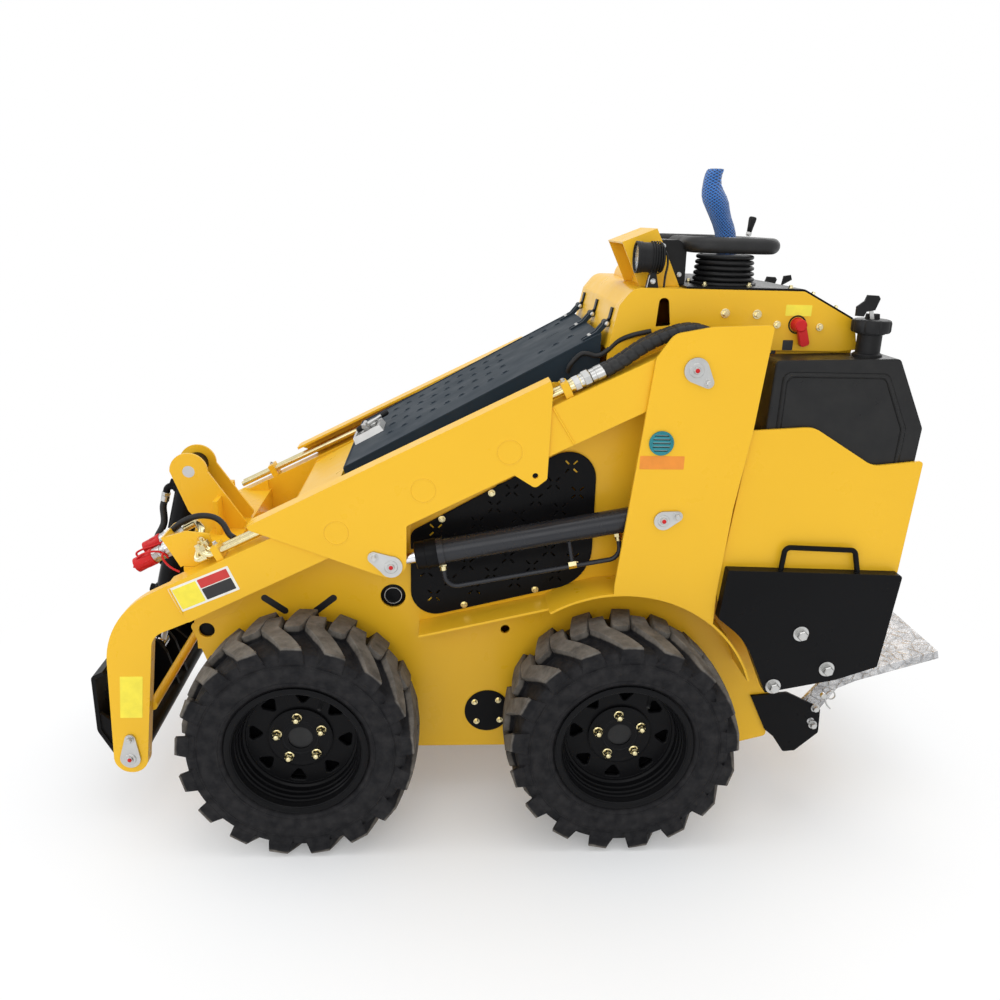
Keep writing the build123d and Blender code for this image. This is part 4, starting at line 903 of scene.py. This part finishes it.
def add_hood_fittings():
    """The latch's tray and handle, keys, the hinges' pin ends and the sheet's rolled edges."""
    normal, ahead = Vector((-sin(HOOD_SLOPE), 0, cos(HOOD_SLOPE))), Vector((cos(HOOD_SLOPE), 0, sin(HOOD_SLOPE)))
    foot = on_hood(70, 12, 6)

    def by_foot(along, across, above):
        """Point by the handle's foot."""
        return foot + ahead * along + Vector((0, across, 0)) + normal * above

    tray = Form("hood_latch_tray", "hood", "zinc_steel", sharp=30)
    corners = ((12, -50), (98, -50), (98, 48), (12, 48))
    tray.skin([[on_hood(a + (inset if a < 50 else -inset), y + (inset if y < 0 else -inset), above) for a, y in corners]
               for inset, above in ((0, 0.4), (3, 19), (11, 19), (13, 6))]).place()
    handle = Form("hood_latch_handle", "hood", "zinc_steel")
    handle.lathe(foot, normal, [(-2, 12), (14, 12), (16, 10), (16, 0)], 28)
    handle.pipe(curved([by_foot(a, b, HANDLE_RISE) for a, b in HANDLE_BAR], 5), 5.2, 14)
    for key, lean in ((0, radians(16)), (1, radians(-10))):
        spin = Matrix.Rotation(lean, 2)
        blade = [spin @ Vector(p) for p in KEY_BLADE]
        handle.slab([by_foot(p.x - 22 - 4 * key, p.y + 26, 17 + 3 * key) for p in blade], normal * 1.8)
    handle.place()
    grip = Form("hood_latch_grip", "hood", "black_plastic")
    for a, b in (HANDLE_BAR[0], HANDLE_BAR[-1]):
        rows = [(-14, 6.4), (-10, 7.2), (4, 8), (9, 6.5), (10.5, 3), (10.5, 0)]
        grip.lathe(by_foot(a, b, HANDLE_RISE), ahead * a + Vector((0, b, 0)), rows, 24)
    grip.place()
    pins = Form("hood_hinge_pin_ends", "chassis", "zinc_steel")
    leaf_bolts = Form("hood_hinge_bolts", "hood", "zinc_steel")
    for y in (-225, 0, 225):
        for side in (-1, 1):
            pins.lathe((154, y + side * 19.6, 1281), (0, side, 0), [(-0.6, 6), (2.4, 5.6), (4, 3.8), (4.4, 0)], 22)
            leaf_bolts.lathe(on_hood(684, y + side * 9, 4), normal, [(-0.5, 5), (1.5, 4.6), (2.8, 2.8), (3, 0)], 18)
    pins.place()
    leaf_bolts.place()
    hem = Form("hood_hem", "hood", "hood_paint")
    hem.pipes([on_hood(along, 258.6, 0.3) for along in range(4, 706, 6)], 2.1, 10)
    hem.pipe([on_hood(3, y, 0.2) for y in range(-256, 257, 8)], 2.2, 10).place()


# Tubes and hoses

HOSE_ROUTE = (on_arm(221.7, TUBE_RISE), on_arm(156, TUBE_RISE), (235, 1258), (330, 1291), (405, 1262), (432, 1195),
              (405, 1130))
HOSE_ARCS = (328, 273, 99, 75, 77)
GUARD_STEP = 2.2
GUARD_START = 14  # Points of the hose that its fitting covers
# Turned parts of a hose's fitting. Columns: segments, turn, then rows of the distance and the radius
FITTING_PARTS = (
    (28, 0.0, ((-34, 12.8), (-33, 14.6), (-14, 14.6), (-13, 13.4), (-2, 13.4), (-1, 12.5))),
    (6, 0.5, ((0, 14.5), (1.5, 16.2), (16, 16.2), (17.5, 14.5))),
    (28, 0.0, ((17.6, 13.6), (24, 13.6), (24.5, 12.6))),
    (6, 0.2, ((26, 14), (27.5, 15.6), (41, 15.6), (42.5, 14))),
)
THIN_HOSE = ((60, 276, 1168), (66, 284, 1188), (92, 286, 1214), (128, 287, 1210), (150, 287, 1222), (176, 288, 1246))
FLANGE_AXIS = Vector((-0.874, 0, -0.485))
# Points of each loop of the coupling caps' cords
CAP_LOOPS = (
    ((-917, -276, 733), (-953, -278, 719), (-978, -280, 711), (-993, -280, 701), (-986, -282, 693), (-959, -284, 701),
     (-927, -284, 722)),
    ((-995, -300, 671), (-986, -306, 695), (-967, -316, 712), (-943, -322, 721), (-924, -322, 721), (-911, -318, 712),
     (-906, -314, 702)),
    ((-914, -322, 720), (-916, -326, 708), (-908, -328, 694), (-894, -331, 682), (-876, -333, 673)),
)
DRAIN_ROUTE = ((-920, -262, 742), (-894, -262, 768), (-862, -262, 787), (-831, -262, 794), (-801, -264, 790),
               (-780, -270, 776), (-764, -282, 754), (-748, -296, 748))


def add_hoses():
    """Spiral guards on the arm hoses, fittings and collars on the tubes, thin lines by the hood and clamp screws."""
    guard = Form("arm_hose_guards", "lift_arm", "soft_rubber", sharp=50)
    for y in BEAM_Y:
        points = filleted([(x, y, z) for x, z in HOSE_ROUTE], HOSE_ARCS, GUARD_STEP)
        even = [points[0]]
        for a, b in zip(points, points[1:]):
            count = max(1, int((b - a).length / GUARD_STEP))
            even += [a + (b - a) * i / count for i in range(1, count + 1)]
        guard.pipes(even[GUARD_START:], 12.2, 20, wrap=3.4, pitch=21)
    guard.place()
    fittings = Form("arm_hose_fittings", "lift_arm", "zinc_steel", sharp=25)
    collars = Form("arm_tube_collars", "lift_arm", "gold_steel", sharp=25)
    direction = Vector((-cos(ARM_SLOPE), 0, -sin(ARM_SLOPE)))
    (rear_x, rear_z), (front_x, front_z) = (on_arm(along, TUBE_RISE) for along in ARM_TUBES)
    for y in (side * y for side in (-1, 1) for y in BEAM_Y):
        for segments, turn, rows in FITTING_PARTS:
            fittings.lathe((rear_x, y, rear_z), direction, rows, segments, turn=turn)
        collars.lathe((rear_x, y, rear_z), direction, [(43, 12), (52, 11.6), (54, 9), (54, 8)], 28)
        if y < 0:
            collars.lathe((front_x, y, front_z), (-19, 0, 33), [(18, 11), (19, 12.6), (30, 12.6), (31, 11)], 6)
    fittings.place()
    collars.place()
    lines = Form("thin_hoses", "chassis", "soft_rubber")
    lines.pipe(curved([*((x, -y, z) for x, y, z in THIN_HOSE), (210, -296, 1262), (250, -300, 1272)]), 6, 14)
    lines.pipe(curved(THIN_HOSE), 6, 14)
    wire = [(268, -268, 1452), (280, -270, 1448), (284, -271, 1425), (280, -271, 1395), (279, -271, 1371)]
    lines.pipe(curved(wire), 2.6, 12).place()
    clamps = Form("clamp_screws", "lift_arm", "zinc_steel")
    for along in (275, 730, 1185):
        x, z = on_arm(along + 9, 97)
        for y in (-363, 363):
            clamps.bolt((x, y, z), (-sin(ARM_SLOPE), 0, cos(ARM_SLOPE)), 9, 6.5)
    clamps.place()


def add_couplings():
    """Knurled sleeves, hexagons and caps of the quick couplings, with their cords, tube bends and drain hose."""
    sleeves = Form("coupling_sleeves", "lift_arm", "zinc_steel", sharp=25)
    caps = Form("coupling_boots", "lift_arm", "red_plastic")
    side, up = Vector((0, 1, 0)), FLANGE_AXIS.cross(Vector((0, 1, 0)))
    for y, rise, length, cap in COUPLING_ROWS:
        x, z = by_flange(rise, 0)
        foot = Vector((x, y, z))
        sleeves.lathe(foot, FLANGE_AXIS, [(0.5, 20.5), (2, 22.5), (15, 22.5), (16.5, 20.5)], 6, turn=0.3)
        rows = [(length - 26, 17), (length - 25, 18.4)]
        for groove in range(length - 22, length - 5, 4):
            rows += [(groove, 18.4), (groove + 1, 17.2), (groove + 2.6, 17.2)]
        sleeves.lathe(foot, FLANGE_AXIS, [*rows, (length - 1, 18), (length - 0.5, 17)], 36)
        sleeves.lathe(foot, FLANGE_AXIS, [(-31, 12), (-30, 15.5), (-18, 15.5), (-17, 14), (-9, 14), (-8.5, 12)], 6)
        rows = [(length - 3, 18.6), (length - 1, 20.6), (length + 3, 20.9), (length + 7, 19.8), (length + 24, 19.4),
                (length + 34, 17)]
        rows += [(length + cap - 5, 12.5), (length + cap - 1, 11), (length + cap, 9), (length + cap, 0)]
        caps.lathe(foot, FLANGE_AXIS, rows, 40)
        for petal in range(6):
            angle = 2 * pi * petal / 6
            around = side * cos(angle) + up * sin(angle)
            start = foot + FLANGE_AXIS * (length + 4) + around * 19.6
            end = foot + FLANGE_AXIS * (length + 30) + around * 17.2
            caps.pipe([start, (start + end) / 2 + around * 0.8, end], 1.9, 8)
    caps.place()
    sleeves.place()
    loops = Form("coupling_cap_loops", "lift_arm", "red_plastic")
    for route in CAP_LOOPS:
        loops.pipe(curved(route), 2.6, 10)
    loops.place()
    bends = Form("coupling_bends", "lift_arm", "gold_steel", sharp=50)
    high_x, high_z = on_arm(ARM_TUBES[1], TUBE_RISE)
    for (y, rise, _, _), tube_y in zip(COUPLING_ROWS, BEAM_Y[::-1]):
        (rear_x, rear_z), (out_x, out_z) = by_flange(rise, -30), by_flange(rise, -66)
        route = [(high_x + 1, -tube_y, high_z + 1), (high_x - 26, -tube_y, high_z - 12),
                 (out_x + 24, (y - tube_y) / 2, out_z - 2), (out_x, y, out_z), (rear_x, y, rear_z)]
        bends.pipe(filleted(route, (8, 12, 12), 2), 8.5, 18)
    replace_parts(bends.place(), "coupling_hoses")
    Form("drain_hose", "lift_arm", "soft_rubber").pipe(curved(DRAIN_ROUTE), 7.5, 16).place()


def add_tilt_fittings():
    """Elbows, hose and gland of the tilt cylinder."""
    run = (TILT_TIP - TILT_BASE).normalized()
    out = Vector((run.z, 0, -run.x))
    nuts = Form("tilt_fittings", "tilt_barrel", "zinc_steel", sharp=25)
    elbows = Form("tilt_elbows", "tilt_barrel", "black_paint", sharp=40)
    for along, toward in ((70, run), (292, -run)):
        foot = TILT_BASE + run * along + out * 34
        bend = foot + out * 24
        elbows.lathe(foot, out, [(-2, 13), (4, 13), (6, 11)], 24)
        elbows.pipe(filleted([foot, bend, bend + toward * 24], (14,), 2), 9.5, 18)
        nuts.lathe(bend + toward * 20, toward, [(0, 11), (1, 12.4), (9, 12.4), (10, 11)], 6)
        nuts.lathe(bend + toward * 20, toward, [(10, 10), (11, 11.4), (26, 11.4), (27, 10)], 24)
    elbows.place()
    nuts.place()
    a, b = (TILT_BASE + run * along + out * 58 for along in (112, 250))
    route = [a, a + run * 24 + out, (a + b) / 2 - out * 9, b - run * 24 + out, b]
    Form("tilt_hoses", "tilt_barrel", "soft_rubber").pipe(curved(route), 9.5, 16).place()
    gland = Form("tilt_gland", "tilt_barrel", "black_paint")
    gland.lathe(TILT_BASE, run, [(388, 41), (390, 41.5), (396, 41.5), (398, 40)], 40).place()


def add_lift_fittings():
    """Fittings, strut nut and gland of each lift cylinder."""
    for side_name, side in SIDES:
        start = Vector((LIFT_BASE[0], side * LIFT_Y, LIFT_BASE[1]))
        along = (Vector((LIFT_TIP[0], side * LIFT_Y, LIFT_TIP[1])) - start).normalized()
        down = Vector((-along.z, 0, along.x))
        body = f"lift_barrel_{side_name}"
        fittings = Form(f"lift_fittings_{side_name}", body, "gold_steel", sharp=25)
        for place in (540, 105):
            foot = start + along * place + down * 28
            fittings.lathe(foot, down, [(0, 11), (9, 11), (10, 9.5)], 6)
            fittings.lathe(foot, down, [(10, 8.6), (20, 8.6), (21, 7)], 24)
        strut = start + along * 216 + down * 92
        fittings.lathe(strut, along, [(0, 9.6), (1, 10.4), (19, 10.4), (20, 9.6)], 6).place()
        rows = [(-12, 34.6), (-10, 35.6), (16, 35.6), (18, 34), (40, 34), (42, 31), (42, 24), (40.6, 19), (-2, 19)]
        Form(f"lift_gland_{side_name}", body, "black_paint").lathe(start + along * 558, along, rows, 48).place()


# Controls

# Columns: height over a rib's foot, how far the bellows stay inside the rib's edge
BELLOWS_RIB = ((0, 12), (1, 5), (3, 1.2), (6.2, 0), (9.6, 1.2), (11.8, 5), (12.8, 12))
LEVER_Y = -160
# Columns: x, z, radius
LEVER_SECTIONS = (
    (455, 1446, 23.5), (453, 1462, 24), (450, 1480, 24.5), (446, 1498, 25.5), (440, 1514, 26), (431, 1532, 26.5),
    (423, 1550, 28.5), (416.5, 1566, 31), (411, 1580, 30), (406, 1594, 26), (403.5, 1606, 22.5), (403, 1618, 21),
    (405, 1630, 20.4), (408, 1638, 20), (409.5, 1641.2, 18.5), (410, 1642, 15),
)
BAR_SIDE, BAR_HIGH, BAR_FOOT_Y = 262, 1469, -30


def add_drive_controls():
    """Bellows, the padded hand bar and the drive lever in its net."""
    boot = Form("joystick_bellows", "chassis", "soft_rubber", sharp=60)
    rows = [(1375.8, 80), (1379.5, 80), (1381, 78), (1381.4, 73)]
    for rib in range(5):
        rows += [(1382 + 13 * rib + rise, 75 - 1.2 * rib - inset) for rise, inset in BELLOWS_RIB]
    boot.lathe((452, LEVER_Y, 0), UP, [*rows, (1446.6, 62), (1447, 50), (1447, 0)], 72)
    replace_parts(boot.place(), "joystick_boot")
    bar = Form("hand_bar_pad", "chassis", "soft_rubber", sharp=60)
    corners = ((349, BAR_FOOT_Y), (349, -BAR_SIDE), (544, -BAR_SIDE), (544, BAR_SIDE), (349, BAR_SIDE))
    route = [(349, BAR_FOOT_Y, 1378), *((*corner, BAR_HIGH) for corner in corners), (349, BAR_SIDE, 1378)]
    bar.pipe(filleted(route, (42, 45, 45, 45, 42), 5), 18.6, 28)
    for y in (BAR_FOOT_Y, BAR_SIDE):
        bar.lathe((349, y, DECK_Z), UP, [(0, 26), (3, 26), (5, 24), (9, 20), (9, 0)], 36)
    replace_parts(bar.place(), "hand_bar")
    lever = Form("joystick_net", "chassis", "blue_net", (430, LEVER_Y, 1540), 80)
    turns = [7.5 * k for k in range(48)]
    lever.skin([[(*p, z) for p in arc((x, LEVER_Y), radius, turns)] for x, z, radius in LEVER_SECTIONS])
    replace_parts(lever.place(), "joystick_lever")


def add_small_controls():
    """The side lever, the small lever and the start key."""
    knob = Form("side_lever_knob", "chassis", "black_plastic", sharp=50)
    tilt, foot = Vector((16, 0, 94)), Vector((588, 150, 1375.6))
    rows = [(0, 19), (2, 19), (3, 17), (5, 14.5), (6.4, 16), (8, 15.6), (10, 11), (14, 9), (18, 6), (19, 4.5), (19, 0)]
    knob.lathe(foot, UP, rows, 36)
    rows = [(124, 5.5), (125.4, 7), (140, 8.4), (154, 10.2), (161, 10.6), (164.4, 9), (165.6, 5), (165.6, 0)]
    knob.lathe(foot, tilt, rows, 36)
    rod = Form("side_lever_rod", "chassis", "zinc_steel")
    rod.pipe([foot + tilt.normalized() * t for t in (10, 60, 128)], 4.2, 16)
    rod.lathe(foot, tilt, [(114, 7), (115, 7.8), (123, 7.8), (124, 7)], 6).place()
    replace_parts(knob.place(), "side_lever")
    ball = Form("small_lever", "chassis", "zinc_steel").pipe([(560, 118, 1374), (556, 112, 1440)], 4, 14)
    ball.lathe((556, 112, 1436), UP, arc((12, 0), 12, range(180, -1, -15)), 28).place()
    key = Form("start_key", "chassis", "black_plastic")
    key.lathe((640, -66, 1361), (0.45, 0, 0.89), [(-2, 13), (3, 12), (5, 9), (8, 8.5), (9, 0)], 28)
    key.slab([(636, -70, 1369), (662, -70, 1384), (658, -70, 1396), (640, -70, 1393)], (0, 6, 0)).place()


def add_lamp_and_switch():
    """Cooling ribs, bezel, bowl and bracket of the work lamp, and the isolator switch."""
    ribs, ahead = Form("lamp_ribs", "chassis", "black_plastic", sharp=30), (1, 0, 0)
    for x in (243, 249, 255, 261):
        ribs.lathe((x, *LAMP), ahead, [(0, 35), (0.4, 37.2), (2.4, 37.2), (2.8, 35)], 48, closed=True)
    ribs.lathe((211, *LAMP), ahead, [(-3, 36.4), (-3.6, 35.4), (-3.6, 32), (-1, 31), (4, 36.4)], 56, closed=True)
    ribs.lathe((266, *LAMP), ahead, [(0, 35), (4, 33), (7, 26), (7, 0)], 40).place()
    bowl = Form("lamp_bowl", "chassis", "chromed_steel")
    bowl.lathe((213.4, *LAMP), (-1, 0, 0), [(0, 30), (0.9, 30), (0.9, 27), (0.4, 0)], 48).place()
    bracket = Form("lamp_bracket", "chassis", "zinc_steel")
    bracket.slab([(236, -280, 1370.5), (264, -280, 1370.5), (259, -276, 1398), (241, -276, 1398)], (0, 3, 0))
    bracket.bolt((250, -280, 1385), (0, -1, 0), 9, 6.5).place()
    recess = Form("switch_recess", "chassis", "black_plastic")
    rows = [(-1, 22), (0.8, 22), (1.4, 21), (0.6, 18.5), (-1, 18)]
    recess.lathe((603, -290.4, 1293), (0, -1, 0), rows, 44, closed=True).place()
    switch = Form("switch_handle", "chassis", "red_plastic")
    switch.plate([(592, 1305, 6), (612, 1307, 6), (630, 1249, 7), (609, 1241, 7)], -300.5, -314)
    switch.lathe((603, -300, 1293), (0, -1, 0), [(-10, 17), (2, 16), (16, 14.5), (18, 12), (18, 0)], 40)
    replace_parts(switch.place(), "isolator_switch")


# Tanks, weights, brackets and grilles

PANEL_Y = 385
PANEL_OUTER = ((545, 1196, 22), (800, 1196, 22), (862, 1065, 30), (850, 800, 22), (540, 800, 22))
PANEL_INNER = ((561, 1180, 16), (790, 1180, 16), (845, 1062, 26), (834, 816, 16), (557, 816, 16))
# Columns: share of the way from the outer to the inner outline, height over the panel
PANEL_BORDER = ((0, -0.6), (0.2, 1.5), (0.65, 1.8), (1, -0.6))
NECK_X, NECK_Y = 765, 330
LOCK_OUTLINE = ((741, 1369), (767, 1368), (772, 1361), (763, 1335), (743, 1331), (738, 1320), (719, 1321), (719, 1342),
                (736, 1355))
CLIP_ROUTE = ((804, 300), (822, 292), (832, 300), (826, 314), (812, 312), (806, 296), (812, 276), (824, 262))


def add_tank_details():
    """Raised border of the moulded panel, neck ring, lobed cap, padlock and keys."""
    panel = Form("tank_panel", "chassis", "tank_plastic", sharp=60)
    pairs = list(zip(rounded(PANEL_OUTER, 7), rounded(PANEL_INNER, 7)))
    cap = Form("tank_cap_lobes", "chassis", "black_plastic", sharp=40)
    angles = [2 * pi * k / 96 for k in range(96)]
    for side in (-1, 1):
        panel.skin([[(x + (u - x) * share, side * (PANEL_Y + out), z + (w - z) * share) for (x, z), (u, w) in pairs]
                    for share, out in PANEL_BORDER], closed=True)
        rings = []
        for z, size in ((1284, 43), (1288, 45), (1306, 45), (1311, 43), (1313.5, 38)):
            reaches = [size * (1 - 0.055 * max(0, cos(8 * angle)) ** 6) for angle in angles]
            rings.append([(NECK_X + reach * cos(angle), side * NECK_Y + reach * sin(angle), z)
                          for angle, reach in zip(angles, reaches)])
        cap.skin(rings)
        rows = [(0, 34), (6, 34), (8, 32), (10, 28), (52, 28), (54, 33), (57, 33), (58, 30)]
        cap.lathe((NECK_X, side * NECK_Y, 1226), UP, rows, 48)
    panel.place()
    cap.slabs([(749, 324, 1312), (781, 324, 1312), (779, 324, 1326), (751, 324, 1326)], (0, 12, 0)).place()
    lock = Form("tank_cap_lock", "chassis", "black_plastic", sharp=40)
    lock.slabs([(x, 336, z) for x, z in LOCK_OUTLINE], (0, 7, 0)).place()
    keys = Form("tank_cap_keys", "chassis", "zinc_steel")
    keys.slabs([(751, 338, 1332), (760, 338, 1334), (765, 338, 1314), (755, 338, 1314)], (0, 2.5, 0)).place()


def add_rear_details():
    """Clips and the catch on the rear brackets, sleeves on the weights' handles and rolled edges of the grilles."""
    clip = Form("rear_clips", "chassis", "zinc_steel")
    clip.pipes(curved([(x, 302, z) for x, z in CLIP_ROUTE], 6), 2.2, 10)
    clip.outward(Form.lathe, (800, 296, 302), [(0, 8), (10, 8), (11, 6.5), (11, 0)], 28).place()
    feet = Form("weight_handle_feet", "chassis", "black_paint")
    for x, z in ((590, 706), (786, 700)):
        for y in (-410, 410):
            feet.lathe((x, y, z), UP, [(-2, 11), (3, 9.5), (7, 7.4), (7, 6.5)], 24)
    feet.place()
    corners = rounded([(-314, 766, 25), (-314, 528, 62), (141, 637, 110), (140, 1023, 68)], 10)
    edge = Form("grille_edges", "chassis", "black_paint", sharp=60)
    edge.pipes([(x, 294.2, z) for x, z in corners + corners[:1]], 1.6, 8).place()


finishes = {name: make(name, *details) for name, make, *details in FINISHES}
add_studio()
dress_frame()
add_wheels()
add_fasteners()
add_pin_ends()
add_blank_plates()
add_vents()
add_side_details()
add_hood_holes()
add_hood_fittings()
add_hoses()
add_couplings()
add_tilt_fittings()
add_lift_fittings()
add_drive_controls()
add_small_controls()
add_lamp_and_switch()
add_tank_details()
add_rear_details()
